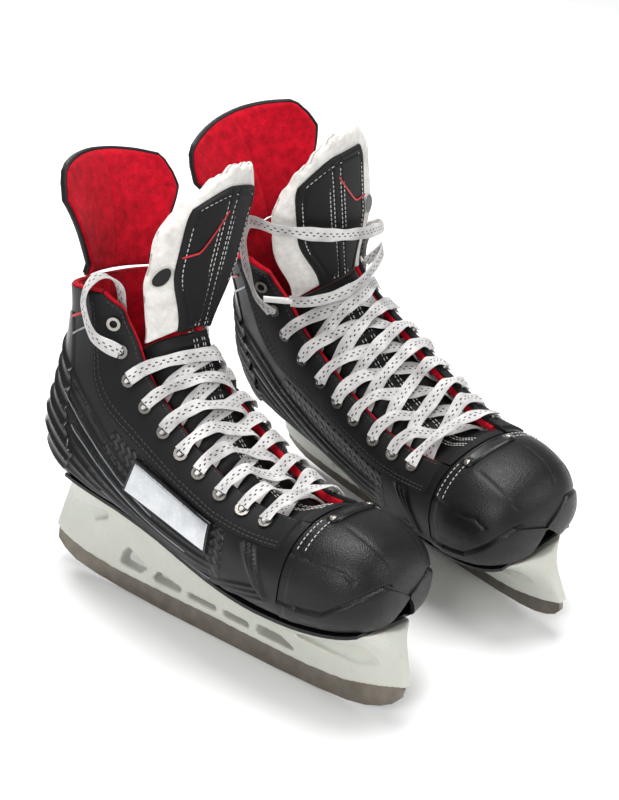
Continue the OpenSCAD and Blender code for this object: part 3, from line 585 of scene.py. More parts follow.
# %% Stitches
def resample(points, step):
    p = np.asarray(points, float)
    d = np.concatenate([[0], np.cumsum(np.linalg.norm(np.diff(p, axis=0), axis=1))])
    s = np.arange(0, d[-1], step)
    return np.stack([np.interp(s, d, p[:, k]) for k in range(3)], -1), d[-1]


def curve_through(points, count):
    """A smooth curve through points, as count even samples."""
    p = np.asarray(points, float)
    n = len(p)
    s = np.linspace(0, n - 1, count)
    i = np.minimum(s.astype(int), n - 2)
    f = (s - i)[:, None]
    a, b, c, d = (p[np.clip(i + j, 0, n - 1)] for j in (-1, 0, 1, 2))
    return 0.5 * (2 * b + (c - a) * f + (2 * a - 5 * b + 4 * c - d) * f**2 + (3 * b - a - 3 * c + d) * f**3)


def bars(lines, pitch, length, radius):
    """Stitches along lines, each a list of points, in the skate's own frame."""
    ring = [(math.cos(q * math.pi / 3), math.sin(q * math.pi / 3)) for q in range(6)]
    shape = [(-0.5, 0.35), (-0.38, 0.85), (0, 1.0), (0.38, 0.85), (0.5, 0.35)]
    points, faces = [], []
    for line in lines:
        fine, total = resample(curve_through(line, 12 * len(line)), 0.25)
        spots, _ = resample(fine, pitch)
        for k in range(len(spots) - 1):
            a = spots[k]
            along = spots[k + 1] - a
            along /= np.linalg.norm(along)
            wide = np.cross(along, [0.13, 0.2, 0.97])
            wide /= np.linalg.norm(wide)
            up = np.cross(along, wide)
            base = len(points)
            for f, r in shape:
                for c, s in ring:
                    points.append(a + along * (f * length) + (wide * c + up * s) * radius * r)
            for i in range(len(shape) - 1):
                for q in range(6):
                    faces.append((base + i * 6 + q, base + i * 6 + (q + 1) % 6,
                        base + (i + 1) * 6 + (q + 1) % 6, base + (i + 1) * 6 + q))
            faces.append(tuple(base + q for q in range(5, -1, -1)))
            faces.append(tuple(base + (len(shape) - 1) * 6 + q for q in range(6)))
    return points, faces


def stitches(name, side, body, lines, paint, pitch=3.4, length=2.3, radius=0.36):
    points, faces = bars(lines, pitch, length, radius)
    piece = add_mesh(name, points, faces, side, body, sharp=80)
    piece.data.materials.append(paint)
    return piece


def thread(name, colour):
    made, tree, bsdf, place = material(name, Roughness=0.7, Sheen_Weight=0.2)
    ply = noise(tree, place.outputs["Object"], 0.5, 3)
    tree.links.new(mix_colour(tree, ply.outputs[0], linear(colour),
        tuple(c * 0.7 for c in linear(colour)[:3]) + (1,)), bsdf.inputs["Base Color"])
    bump(tree, bsdf, ply.outputs[0], 0.05)
    return made


PALE_THREAD = thread("thread_pale_grey", "#c9c7c2")
DARK_THREAD = thread("thread_black", "#232325")


def dress(piece, paint, slot, *nodes):
    piece.data.materials.append(paint)
    if nodes:
        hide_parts(*nodes)
    return piece


# %% [markdown]
# The free ends of the laces come first of the soft pieces, because the frame checks their length and place.
# A lace is limp, so each end hangs where it was dropped: over the collar, across the tongue or down the side.
# The route's points are listed and are the same as in the design.

# %% Routes of the free lace ends
ENDS = {
    "right": [
        [[-48, 80, 183], [-49, 86, 188], [-50, 90, 196], [-51, 92, 205], [-50, 91, 214], [-45, 88, 221],
         [-39, 84, 221], [-34, 80, 216], [-30, 80, 206], [-27, 82, 192], [-26, 84, 172], [-25, 86, 150],
         [-24, 87, 128], [-23, 86, 112], [-21, 83, 99], [-18, 76, 90], [-15, 62, 85.6], [-13, 44, 82.6],
         [-12, 26, 79.4]],
        [[47.5, 76, 173], [49, 82, 162], [49.5, 86, 146], [49.5, 88, 128], [49.5, 88, 110], [49.5, 87, 92],
        [48, 86, 76]]],
    "left": [
        [[47, 72, 190], [48, 75, 204], [48, 76, 220], [47.5, 74, 236], [47, 68, 248], [46.5, 56, 253],
         [42, 42, 251], [30, 33, 246], [16, 27, 240], [0, 26, 233], [-16, 29, 226], [-31, 36, 219],
         [-43, 46, 212],
         [-47, 58, 206], [-48, 70, 198], [-48.5, 80, 184], [-49, 86, 166], [-50, 90, 146], [-51, 92, 126],
         [-51.5, 92, 106]],
        [[-47, 62, 184], [-44, 52, 192], [-34, 42, 194], [-18, 34, 192], [0, 31, 190], [16, 34, 190],
        [28, 41, 190], [36, 50, 191]]]}
FACINGS = {
    "right": [
        [[-1, 0.2, 0], [-1, 0.3, 0], [-1, 0.3, 0], [-1, 0.3, 0.1], [-1, 0.3, 0.4], [-0.6, 0.2, 1],
        [0.3, 0, 1],
         [1, 0, 0.8], [1, 0, 0.2], [1, 0, 0], [1, 0, 0], [1, 0, 0], [1, 0, 0], [1, 0, 0], [1, 0, 0.3],
         [0.8, 0.2, 1], [0, 0, 1], [0, 0.1, 1], [0, 0.1, 1]],
        [[1, 0.2, 0]] * 7],
    "left": [
        [[1, 0, 0], [1, 0, 0], [1, 0, 0], [1, 0, 0], [1, -0.4, 0], [1, -0.8, 0], [0.8, -1, 0], [0.4, -1, 0],
         [0.2, -1, 0], [0, -1, 0], [-0.2, -1, 0], [-0.4, -1, 0], [-0.8, -1, 0], [-1, -0.3, 0], [-1, 0, 0],
         [-1, 0, 0], [-1, 0.1, 0], [-1, 0.2, 0], [-1, 0.2, 0], [-1, 0.2, 0]],
        [[-1, -0.4, 0], [-0.8, -0.8, 0], [-0.5, -1, 0], [-0.2, -1, 0], [0, -1, 0], [0.2, -1, 0],
        [0.5, -1, 0], [0.8, -0.8, 0]]]}
END_SIDE = {"right": (-1, 1), "left": (1, -1)}


# %% Ribbons
SECTION = [(math.cos(a), math.sin(a)) for a in np.linspace(0, 2 * math.pi, 14, endpoint=False)]


def ribbon(centres, facings, width=LACE_W, thick=LACE_T, start_mm=0.0, slack=0.0, seed=0):
    """Points, faces and UVs of a flat plaited lace along a line. It is thinnest at its edges,
    cups a little, and wavers as a worn lace does."""
    c = np.asarray(centres, float)
    n = len(c)
    d = np.concatenate([[0], np.cumsum(np.linalg.norm(np.diff(c, axis=0), axis=1))])
    along = np.gradient(c, axis=0)
    along /= np.linalg.norm(along, axis=1, keepdims=True)
    face = np.asarray(facings, float)
    wide = np.cross(face, along)
    wide /= np.linalg.norm(wide, axis=1, keepdims=True)
    up = np.cross(along, wide)
    tilt = slack * np.sin(d / 9 + seed * 1.7) + 0.6 * slack * np.sin(d / 4.3 + seed * 2.9)
    cos_tilt, sin_tilt = np.cos(tilt)[:, None], np.sin(tilt)[:, None]
    wide, up = wide * cos_tilt + up * sin_tilt, up * cos_tilt - wide * sin_tilt
    grow = 1 + 0.09 * np.sin(d / 7.5 + seed) + 0.05 * np.sin(d / 2.9 + 3 * seed)
    points, uv = [], []
    for i in range(n):
        for cx, cy in SECTION:
            x = math.copysign(abs(cx) ** 0.75, cx) * width / 2 * grow[i]
            y = cy * thick / 2 * (1 - 0.25 * cx * cx) + 0.35 * (cx * cx - 0.4)
            points.append(c[i] + wide[i] * x + up[i] * y)
            uv.append((x, start_mm + d[i]))
    k = len(SECTION)
    faces = [(i * k + q, i * k + (q + 1) % k, (i + 1) * k + (q + 1) % k, (i + 1) * k + q)
        for i in range(n - 1) for q in range(k)]
    faces += [tuple(range(k - 1, -1, -1)), tuple((n - 1) * k + q for q in range(k))]
    return points, faces, uv, d[-1]


def band(name, line, facings, side, body, paint, slot, *size, **more):
    """A dressed ribbon along a line."""
    points, faces, uv, _ = ribbon(line, facings, *size, **more)
    return dress(add_mesh(name, points, faces, side, body, uv), paint, slot)


def pad(name, outer, inner, side, body, paint, slot, *nodes):
    """A dressed solid between two grids, which stands for the nodes."""
    points, faces = sheet_solid(outer, inner)
    return dress(add_mesh(name, points, faces, side, body), paint, slot, *nodes)


FILM = mottled("lace_tip_clear_film", "#e2e1dd", "#f4f3f0", 1.5, 3, Roughness=0.25, Coat_Weight=0.5)
for side in SIDES:
    for i, (route, facing) in enumerate(zip(ENDS[side], FACINGS[side])):
        u9 = EYELET_U[LACED]
        t9 = END_SIDE[side][i] * eyelet_t(u9)
        first = skin(u9, t9, LACE_OUT + 0.2)
        line = curve_through([first] + route, 10 * len(route) + 1)
        faces_to = curve_through([outward(u9, t9)] + facing, 10 * len(route) + 1)
        points, faces, uv, length = ribbon(line, faces_to, slack=0.1, seed=i + (3 if side == "left" else 0))
        name = side + "_lace_end_" + ("a" if i == 0 else "b")
        piece = add_mesh(name, points, faces, side, "skate", uv, sharp=70)
        dress(piece, LACE, "lace_cotton", side + "_lace_ends")
        path = to_world(line, side)
        # the film that keeps the lace's end from fraying
        tip_from = line[-1]
        tip_way = (line[-1] - line[-3]) / np.linalg.norm(line[-1] - line[-3])
        steps = [tip_from + tip_way * f for f in np.linspace(-2, 17.5, 14)]
        tp, tf, tuv, _ = ribbon(steps, [faces_to[-1]] * 14, width=4.4, thick=2.6)
        tip = add_mesh(name + "_tip", tp, tf, side, "skate", tuv, sharp=60)
        dress(tip, FILM, "lace_tip", side + "_lace_tips")
        print("%s: %.0f mm" % (name, length))

# %% [markdown]
# The toe cap is one hard moulding. A crease parts a low bumper from the dome: it runs level above the sole,
# then steps up and on round the toe. Creases like these are pressed into the mould,
# so they are made as real dips in the mesh, with the fine pebble left to the material.

# %% Toe cap
def near_line(p, points, reach=400.0):
    """Distance in millimetres from surface points to a broken line given as y, z pairs."""
    q = np.stack([p[..., 1], p[..., 2]], -1)
    best = np.full(q.shape[:-1], reach)
    for a, b in zip(points, points[1:]):
        a, b = np.array(a, float), np.array(b, float)
        f = np.clip(((q - a) @ (b - a)) / ((b - a) @ (b - a)), 0, 1)
        best = np.minimum(best, np.linalg.norm(q - (a + f[..., None] * (b - a)), axis=-1))
    return best


BUMPER = [(-96, 72), (-112, 74), (-126, 84), (-138, 95), (-150, 100)]
SIDE_CREASE = [(-80, 102), (-100, 102), (-120, 101), (-126, 97)]


def cap_detail(u, t, p):
    level = np.interp(-p[..., 1], [70, 96, 112, 126, 138, 150], [71, 72, 74, 84, 95, 100])
    bumper = 1.3 * smooth((level - p[..., 2]) / 1.6 + 0.5) * (np.abs(t) > 60)
    side = np.abs(t) > 50
    groove = -0.9 * ridge(near_line(p, BUMPER), 1.1) * side
    groove += -0.8 * ridge(near_line(p, SIDE_CREASE), 1.0) * side
    top = (-0.55 * ridge(np.abs(t) - (30 - 3.2 * (u - 2.6)), 1.6)
           * smooth((u - 2.2) / 0.5) * smooth((5.0 - u) / 0.4))
    seat = -0.5 * smooth((u - 5.5) / 0.1)
    return bumper + groove + top + seat


for side in SIDES:
    u, t = wall_grid(0.02, SEAM_U, lambda v: -UNDER_T + 0 * v, lambda v: UNDER_T + 0 * v, 150, 190)
    piece = layer(side + "_toe_cap_moulding", side, "skate", u, t, SHELL_IN, 0.0, 0, cap_detail)
    dress(piece, PEBBLED, "toe_plastic", side + "_toe_cap")
    rows = []
    for k in (0.0, 2.6):
        for s in (-1, 1):
            ts = s * np.linspace(26, 60, 14)
            us = 5.62 - 0.10 * k + 0 * ts
            rows.append(skin(us, ts, 0.45))
    stitches(side + "_toe_seam_stitches", side, "skate", rows, PALE_THREAD, 3.2, 2.1,
             0.34)
print("toe caps done")

# %% [markdown]
# The toe strap is a small curved oval with a raised rim, held by a rivet at each end.

# %% Toe strap
PLATE_U = 5.35
for side in SIDES:
    f = edge_steps(60, 0.04)
    t = np.linspace(-25, 25, 70)[None, :] + 0 * f[:, None]
    half = 0.25 * np.sqrt(np.clip(1 - (np.abs(t) / 25.6) ** 6, 0.02, 1))
    u = PLATE_U + (2 * f[:, None] - 1) * half
    share = np.maximum(np.abs(2 * f[:, None] - 1) + 0 * t, np.abs(t) / 25)
    top = GAP + 1.1 + 0.9 * ridge(share - 0.80, 0.10)
    outer, inner = skin(u, t, top * (1 - 0.5 * smooth((share - 0.9) / 0.1))), skin(u, t, GAP - 0.6)
    pad(side + "_toe_strap", outer, inner, side, "skate", GLOSSY, "toe_plastic", side + "_toe_plate")
    points, faces = [], []
    for s in (-21, 21):
        centre, axis = skin(PLATE_U, s, 1.6), outward(PLATE_U, s)
        a = np.cross(axis, [0, 1, 0.2])
        a /= np.linalg.norm(a)
        b = np.cross(axis, a)
        base = len(points)
        dome = [(2.4, -0.6), (2.4, 0.2), (2.1, 0.7), (1.4, 1.05), (0.6, 1.2)]
        for r, h in dome:
            points += [centre + axis * h + (a * math.cos(q) + b * math.sin(q)) * r
                for q in np.linspace(0, 2 * math.pi, 20, endpoint=False)]
        faces += [(base + i * 20 + q, base + i * 20 + (q + 1) % 20, base + (i + 1) * 20 + (q + 1) % 20,
            base + (i + 1) * 20 + q) for i in range(4) for q in range(20)]
        faces += [tuple(base + 80 + q for q in range(20)), tuple(base + q for q in range(19, -1, -1))]
    dress(add_mesh(side + "_toe_strap_rivets", points, faces, side, "skate", sharp=50), NICKEL,
        "eyelet_nickel")
print("toe straps done")

# %% [markdown]
# The side shells carry long moulded ribs that sweep from the heel forward and down to the sole.
# They are drawn in side view as curves, and each raises the surface in a soft ridge.

# %% Side shells
RIB_BACK = (176, 161, 147, 134, 122, 110, 98)
RIB_FRONT = (84, 79, 74.5, 70.5, 67, 64, 61.5)
RIB_FROM, RIB_TO = -40.0, 128.0


def rib_height(y, k):
    f = np.clip((y - RIB_FROM) / (RIB_TO - RIB_FROM), 0, 1)
    return RIB_FRONT[k] + (RIB_BACK[k] - RIB_FRONT[k]) * f**2.1


def flowing_ribs(p, width=1.9):
    total = 0
    for k in range(len(RIB_BACK)):
        total = total + ridge(p[..., 2] - rib_height(p[..., 1], k), width)
    return total


def shell_detail(u, t, p):
    ribs = 1.7 * flowing_ribs(p) * smooth((p[..., 1] + 40) / 25) * smooth((np.abs(t) - 66) / 8)
    chevrons = 0.0
    for k in range(3):
        line = [(-20 + 2 * k, 62 - 3.5 * k), (-66 - 4 * k, 73.5 - 2.5 * k), (-50 - 4 * k, 96)]
        chevrons = chevrons + 1.3 * ridge(near_line(p, line), 1.2)
    chevrons = chevrons * smooth((-14 - p[..., 1]) / 8)
    return ribs + chevrons


for side in SIDES:
    for s, name in ((-1, "lateral"), (1, "medial")):
        lo = (lambda v: -low_t(v)) if s < 0 else open_t
        hi = (lambda v: -open_t(v)) if s < 0 else low_t
        u, t = wall_grid(SEAM_U + 0.03, LAST, lo, hi, 250, 130)
        piece = layer(side + "_" + name + "_shell", side, "skate", u, t, SHELL_IN, 0.0, 0, shell_detail)
        dress(piece, SATIN, "shell_plastic", side + "_quarter_" + name)
print("side shells done")

# %% [markdown]
# A panel with a woven look fills the middle of each side, and on the outer side a blank silver badge in a
# black frame lies across it. The heel overlay is a second, glossier moulding with the ribs running through.

# %% Panels, badge and heel overlay
for side in SIDES:
    for s, name in ((-1, "lateral"), (1, "medial")):
        def panel_low(v):
            return np.full_like(v, 126.0) - 6 * smooth((np.asarray(v) - 9.5) / 2)

        def panel_high(v):
            return stay_t(v) + 2.5
        lo = (lambda v: -panel_low(v)) if s < 0 else panel_high
        hi = (lambda v: -panel_high(v)) if s < 0 else panel_low
        u, t = wall_grid(7.55, 11.9, lo, hi, 120, 80)

        def panel_detail(u, t, p):
            return (-0.5 + 0.5 * flowing_ribs(p) * smooth((p[..., 1] + 40) / 25)
                    * smooth((np.abs(t) - 96) / 6))
        piece = layer(side + "_" + name + "_panel", side, "skate", u, t, -0.3, 1.0, 1.2, panel_detail)
        dress(piece, WOVEN, "panel_weave")
    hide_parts(side + "_side_panels")

    def badge_sheet(name, grow, low, high, paint, slot, *nodes):
        f = edge_steps(24, 0.08)
        u = 8.0 + 2.7 * (0.5 + (f - 0.5) * (1 + grow / 33))[:, None]
        mid = -81 - (u - 8.0) * 1.2
        t = mid + (2 * f[None, :] - 1) * (11.2 + grow * 1.2)
        u = np.broadcast_to(u, t.shape)
        piece = layer(name, side, "skate", u, t, low, high, 0.5)
        return dress(piece, paint, slot, *nodes)

    badge_sheet(side + "_badge_frame", 2.0, 0.2, 2.6, GLOSSY, "toe_plastic")
    badge_sheet(side + "_badge_face", 0.0, 2.2, 3.1, SILVER, "badge_silver", side + "_side_badge")


def counter_detail(u, t, p):
    hollow = -0.9 * (1 - np.clip(flowing_ribs(p, 2.6), 0, 1))
    return hollow + 1.2 * flowing_ribs(p, 1.4)


for side in SIDES:
    f = edge_steps(120, 0.04)
    u = 12.5 + (16.9 - 12.5) * f[:, None]
    lo = 92 + 8 * np.abs(u - 14)
    t = lo + (360 - 2 * lo) * edge_steps(150, 0.03)[None, :]
    u = np.broadcast_to(u, t.shape)
    t = np.where(t > 180, t - 360, t)
    piece = layer(side + "_heel_overlay", side, "skate", u, t, -0.2, 2.0, 1.6, counter_detail)
    dress(piece, GLOSSY, "counter_plastic", side + "_heel_counter")


# %% Pinstripes
def surface_at(y, z, s):
    """u and t of the boot's face at a place in side view, on the outer (-1) or inner (1) side."""
    us, ts = np.meshgrid(np.linspace(5.9, LAST, 240), s * np.linspace(44, 178, 220), indexing="ij")
    p = form(us, ts)
    best = [np.argmin((p[..., 1] - a) ** 2 + (p[..., 2] - b) ** 2) for a, b in zip(y, z)]
    return us.ravel()[best], ts.ravel()[best]


def stripe(name, side, s, ys, zs, width, height, paint, slot):
    u, t = surface_at(ys, zs, s)
    k = np.ones(9) / 9
    u = np.convolve(np.pad(u, 4, "edge"), k, "valid")
    t = np.convolve(np.pad(t, 4, "edge"), k, "valid")
    centre, normal = skin(u, t, height), outward(u, t)
    return band(name, centre, normal, side, "skate", paint, slot, width, 0.5)


GREY_INK = metal("pinstripe_grey_ink", "#7d8084", "#a5a8ab", 0.4, (1, 1, 1), 2, 0.005)
RED_INK = mottled("accent_red_ink", "#a3121f", "#c3202c", 4, 3, Roughness=0.4)
for side in SIDES:
    for s in (-1, 1):
        for k, (start, stop) in enumerate(((-30, 70), (20, 118), (-10, 100))):
            ys = np.linspace(start, stop, 70)
            stripe("%s_pinstripe_%d_%d" % (side, s + 1, k), side, s, ys, rib_height(ys, (4, 1, 2)[k]) - 2.2,
                0.9, 1.7, GREY_INK, "badge_silver")
        ys = np.linspace(96, 128, 30)
        stripe("%s_accent_%d" % (side, s + 1), side, s, ys, 196 - 0.55 * (ys - 96), 1.5, 0.9, RED_INK,
            "liner_red")
        ys = np.linspace(90, 130, 30)
        stripe("%s_accent_grey_%d" % (side, s + 1), side, s, ys, 190 - 0.7 * (ys - 90), 1.2, 0.9, GREY_INK,
            "badge_silver")
print("panels, badges, overlays and stripes done")

# %% [markdown]
# The eyestays are bands of synthetic leather, sewn down along both edges, and the eyelets are clenched
# through them. The eyelets are the design's own: only their material changes.

# %% Eyestays
for side in SIDES:
    for s, name in ((-1, "lateral"), (1, "medial")):
        lo = (lambda v: -stay_t(v)) if s < 0 else open_t
        hi = (lambda v: -open_t(v)) if s < 0 else stay_t
        u, t = wall_grid(6.1, LAST - 0.06, lo, hi, 260, 36)

        def puffed(u, t, p):
            dent = 0
            for v in EYELET_U:
                spot = form(v, s * eyelet_t(v))
                dent = dent - 0.5 * ridge(np.linalg.norm(p - spot, axis=-1), 4.5)
            return dent + 0.25 * np.sin(p[..., 1] / 7.0) * 0.4
        piece = layer(side + "_" + name + "_eyestay", side, "skate", u, t, 0.05, BAND_TOP, 1.0, puffed)
        dress(piece, LEATHER, "band_leather", side + "_eyestay_" + name)
        vs = np.linspace(6.25, LAST - 0.3, 60)
        rows = [skin(vs, s * (stay_t(vs) - 2.6), BAND_TOP), skin(vs, s * (stay_t(vs) - 5.6), BAND_TOP)]
        rows.append(skin(vs, s * (open_t(vs) + 2.6), BAND_TOP))
        stitches(side + "_" + name + "_eyestay_stitches", side, "skate", rows, DARK_THREAD)
print("eyestays done")

# %% [markdown]
# The lining is thick red felt. It is rolled over the collar's rim, so it ends in a soft bead
# that shows as a red line round the top of the boot.

# %% Lining
def felt_waves(u, t, p):
    return 0.35 * np.sin(p[..., 1] / 9 + p[..., 2] / 13) + 0.25 * np.sin(p[..., 2] / 5.5)


for side in SIDES:
    for s, name in ((-1, "outer"), (1, "inner")):
        lo_f = lambda v: np.minimum(low_t(v), 140 + 39.7 * smooth((np.asarray(v) - 12.4) / 1.4))
        lo = (lambda v: -lo_f(v)) if s < 0 else (lambda v: open_t(v) + 0.2)
        hi = (lambda v: -open_t(v) - 0.2) if s < 0 else lo_f
        u, t = wall_grid(SEAM_U + 0.05, LAST + 0.0, lo, hi, 170, 90)
        depth = (5 * smooth((u - 12.8) / 1.6) * smooth((17 - u) / 1.4)
                 * smooth((np.abs(t) - 62) / 28) * smooth((166 - np.abs(t)) / 26))
        inner = skin(u, t, LINER_IN - depth - 0.4 + felt_waves(u, t, form(u, t)))
        outer = skin(u, t, LINER_OUT + 0.3)
        piece = pad(side + "_lining_" + name, outer, inner, side, "skate", RED_FELT, "liner_red")
        vs = np.linspace(open_t(LAST) + 1, 179, 60)
        rim = skin(LAST, s * vs, -2.6) + [0, 0, 0.4]
        band(side + "_collar_bead_" + name, rim, np.tile([[0, 0, 1.0]], (60, 1)), side, "skate", RED_FELT,
             "liner_red", 4.6, 2.6, slack=0.05)
        vs = np.linspace(SEAM_U + 0.6, LAST, 150)
        bead = skin(vs, s * open_t(vs), -3.2)
        band(side + "_front_bead_" + name, bead, outward(vs, s * open_t(vs)), side, "skate", RED_FELT,
             "liner_red", 2.4, 4.4)
    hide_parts(side + "_liner")
print("linings done")

# %% [markdown]
# The lower tongue lies under the laces. It is padded, so it swells between the crossings.

# %% Tongue under the laces
FOLD_U = 14.1


def tongue_turn(u):
    return open_t(u) - 2 + 15 * smooth((np.asarray(u) - 7.3) / 0.7)


for side in SIDES:
    u, t = wall_grid(SEAM_U + 0.1, FOLD_U, lambda v: -tongue_turn(v), tongue_turn, 150, 110)
    off = tongue_off(u, t)
    swell = 0.9 * np.sin((u - 6.8) * 2 * math.pi / 0.72) * np.exp(-(t / 26) ** 2) * smooth((u - 6.6) / 0.6)
    outer = skin(u, t, off + swell - 0.6 * (1 - rounded(FOLD_U - u, 0.25)) * 6)
    inner = skin(u, t, off - 7.6 * smooth((u - 5.4) / 1.4) + 0.2)
    piece = pad(side + "_tongue_lower", outer, inner, side, "skate", LEATHER, "band_leather",
                side + "_tongue_base")
    rows = []
    for s in (-1, 1):
        vs = np.linspace(6.2, FOLD_U - 0.15, 50)
        for gap_t in (3.2, 6.2):
            rows.append(skin(vs, s * gap_t + 0 * vs, tongue_off(vs, s * gap_t + 0 * vs) + 0.5))
    stitches(side + "_tongue_lower_stitches", side, "skate", rows, PALE_THREAD)
print("lower tongues done")

# %% [markdown]
# The upper tongue is a padded flap: a black face, bound at its edge and sewn down its middle with a double
# row, over white felt that stands out round it. The felt is the piece that looks worn: its edge is uneven.

# %% Tongue flap
FOLD_Y, FOLD_Z, FOLD_GAP, TONGUE_HALF, TONGUE_H, FELT_T = 42, 190, 5.5, 40, 106, 6
FACE_TRIM = 13


def flap_half(v):
    return TONGUE_HALF * (0.68 + 0.32 * smooth(v * 2.2)) * np.sqrt(1 - 0.36 * smooth((v - 0.72) / 0.3) ** 2)


def flap(fall, v, s, back=0.0, trim=0.0):
    """A point of the flap; fall is the side, -1 or 1, on which its upper edge falls away."""
    v, s = np.broadcast_arrays(np.asarray(v, float), np.asarray(s, float))
    w = v * (1 - trim / TONGUE_H)
    q = s * (1 - trim / flap_half(w))
    d = np.maximum(q * fall, 0)
    e = d * np.minimum(2 * w, 1)
    x = flap_half(w) * q - 0.6 * fall * e * back
    y = FOLD_Y - 17 * w + 15 * q * q + 5 * d * d * w + back
    z = FOLD_Z + FOLD_GAP + TONGUE_H * w - (12 - 5 * w) * q * q - 26 * d**1.5 * w * w - 0.5 * e * w * back
    return np.stack([x, y, z], -1)


for side in SIDES:
    fall = -1 if side == "right" else 1
    v = edge_steps(110, 0.05, 6)[:, None]
    s = (2 * edge_steps(90, 0.06, 6) - 1)[None, :]
    v, s = np.broadcast_arrays(v, s)
    edge = np.minimum(np.minimum(v, 1 - v) * TONGUE_H, (1 - np.abs(s)) * flap_half(v))
    plump = rounded(edge, 4.0)
    wobble = 0.7 * np.sin(v * 23 + 2 * s) + 0.6 * np.sin(v * 11 - 5 * s + (1 if side == "left" else 0))
    ragged = (1.6 * smooth((v - 0.5) / 0.3) * (np.sin(s * 17 + v * 9) + 0.6 * np.sin(s * 37))
              * smooth(1 - edge / 6))
    middle = FELT_T / 2
    front = (flap(fall, v, s, middle) - np.stack([0 * v, plump * (middle - 0.1), 0 * v], -1)
             + np.stack([0 * v, 0.3 * wobble, ragged * 0.7], -1))
    back = (flap(fall, v, s, middle)
            + np.stack([0 * v, plump * (middle + 0.6) + 0.5 * wobble, ragged * 0.7], -1))
    points, faces = sheet_solid(front, back)
    piece = add_mesh(side + "_tongue_lining", points, faces, side, "tongue", sharp=180)
    dress(piece, WHITE_FELT, "tongue_felt_white", side + "_tongue_felt")
    v = edge_steps(90, 0.04, 5)[:, None]
    s = (2 * edge_steps(80, 0.04, 5) - 1)[None, :]
    v, s = np.broadcast_arrays(v, s)
    edge = np.minimum(np.minimum(v, 1 - v) * (TONGUE_H - FACE_TRIM),
        (1 - np.abs(s)) * (flap_half(v) - FACE_TRIM))
    puff = rounded(edge, 2.2)
    seam = -0.8 * ridge(np.abs(s * flap_half(v)) - 4.2, 1.2) - 0.9 * ridge(edge - 4.2, 1.0)
    top = (flap(fall, v, s, -0.5, FACE_TRIM)
           - np.stack([0 * v, puff * (2.4 + seam + 0.5 * np.sin(v * 8)), 0 * v], -1))
    pad(side + "_tongue_cover", top, flap(fall, v, s, 0.1, FACE_TRIM), side, "tongue", LEATHER,
        "band_leather", side + "_tongue_face")
    rows = []
    for x in (-5.6, -2.9, 2.9, 5.6):
        vs = np.linspace(0.03, 0.95, 40)
        rows.append(flap(fall, vs, x / (flap_half(vs) - FACE_TRIM), -2.6, FACE_TRIM))
    around = ([(f, -0.87) for f in np.linspace(0.04, 0.93, 30)]
              + [(0.945, q) for q in np.linspace(-0.8, 0.8, 20)]
              + [(f, 0.87) for f in np.linspace(0.93, 0.04, 30)])
    rows.append(np.array([flap(fall, a, b, -2.5, FACE_TRIM) for a, b in around]))
    stitches(side + "_tongue_stitches", side, "tongue", rows, PALE_THREAD)
    mark = [flap(fall, a, b, -3.0, FACE_TRIM)
            for a, b in ((0.60, -0.96), (0.59, -0.72), (0.60, -0.55), (0.72, -0.28), (0.84, -0.06))]
    band(side + "_tongue_red_line", curve_through(mark, 40), np.tile([[0, -1.0, 0.2]], (40, 1)), side,
         "tongue", RED_INK, "liner_red", 1.1, 0.5)
    for grow, paint, back, name in ((1.0, PALE_THREAD, -0.6, "edge"), (0.86, SATIN, -0.9, "face")):
        a = np.linspace(0, 2 * math.pi, 40, endpoint=False)
        ring = [(0.43 + 0.07 * grow * math.sin(q), -0.84 + 0.13 * grow * math.cos(q)) for q in a]
        outer = [flap(fall, x, y, back - 0.2) for x, y in ring]
        inner = [flap(fall, x, y, back + 0.9) for x, y in ring]
        faces = [tuple(range(40)), tuple(range(79, 39, -1))]
        faces += [(q, 40 + q, 40 + (q + 1) % 40, (q + 1) % 40) for q in range(40)]
        tag = add_mesh(side + "_size_tag_" + name, outer + inner, faces, side, "tongue")
        dress(tag, paint, "toe_plastic")
    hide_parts(side + "_size_tag")
print("tongue flaps done")

# %% [markdown]
# The tendon guard is a springy plastic flap faced with the same red felt, with a seam up its middle
# and a black binding round its edge. It is cut to an angular outline, waisted at the collar.

# %% Tendon guard
GUARD = np.array([[0, 0.58], [0.1, 0.54], [0.25, 0.66], [0.45, 0.82], [0.68, 1], [0.84, 0.95], [0.95, 0.88],
    [1, 0.8]])
GUARD_W, GUARD_H = 100, 73


def guard_point(v, s, back=0.0, grow=1.0):
    v, s = np.broadcast_arrays(np.asarray(v, float), np.asarray(s, float))
    share = np.interp(v, GUARD[:, 0], GUARD[:, 1])
    q = s * grow
    return np.stack([GUARD_W / 2 * share * q, 120 + 20 * v * v - (6 + 7 * smooth(v * 1.6)) * q * q + back,
                     209 + 3 + GUARD_H * v - 4 * smooth(v * 3 - 2) * q * q], -1)


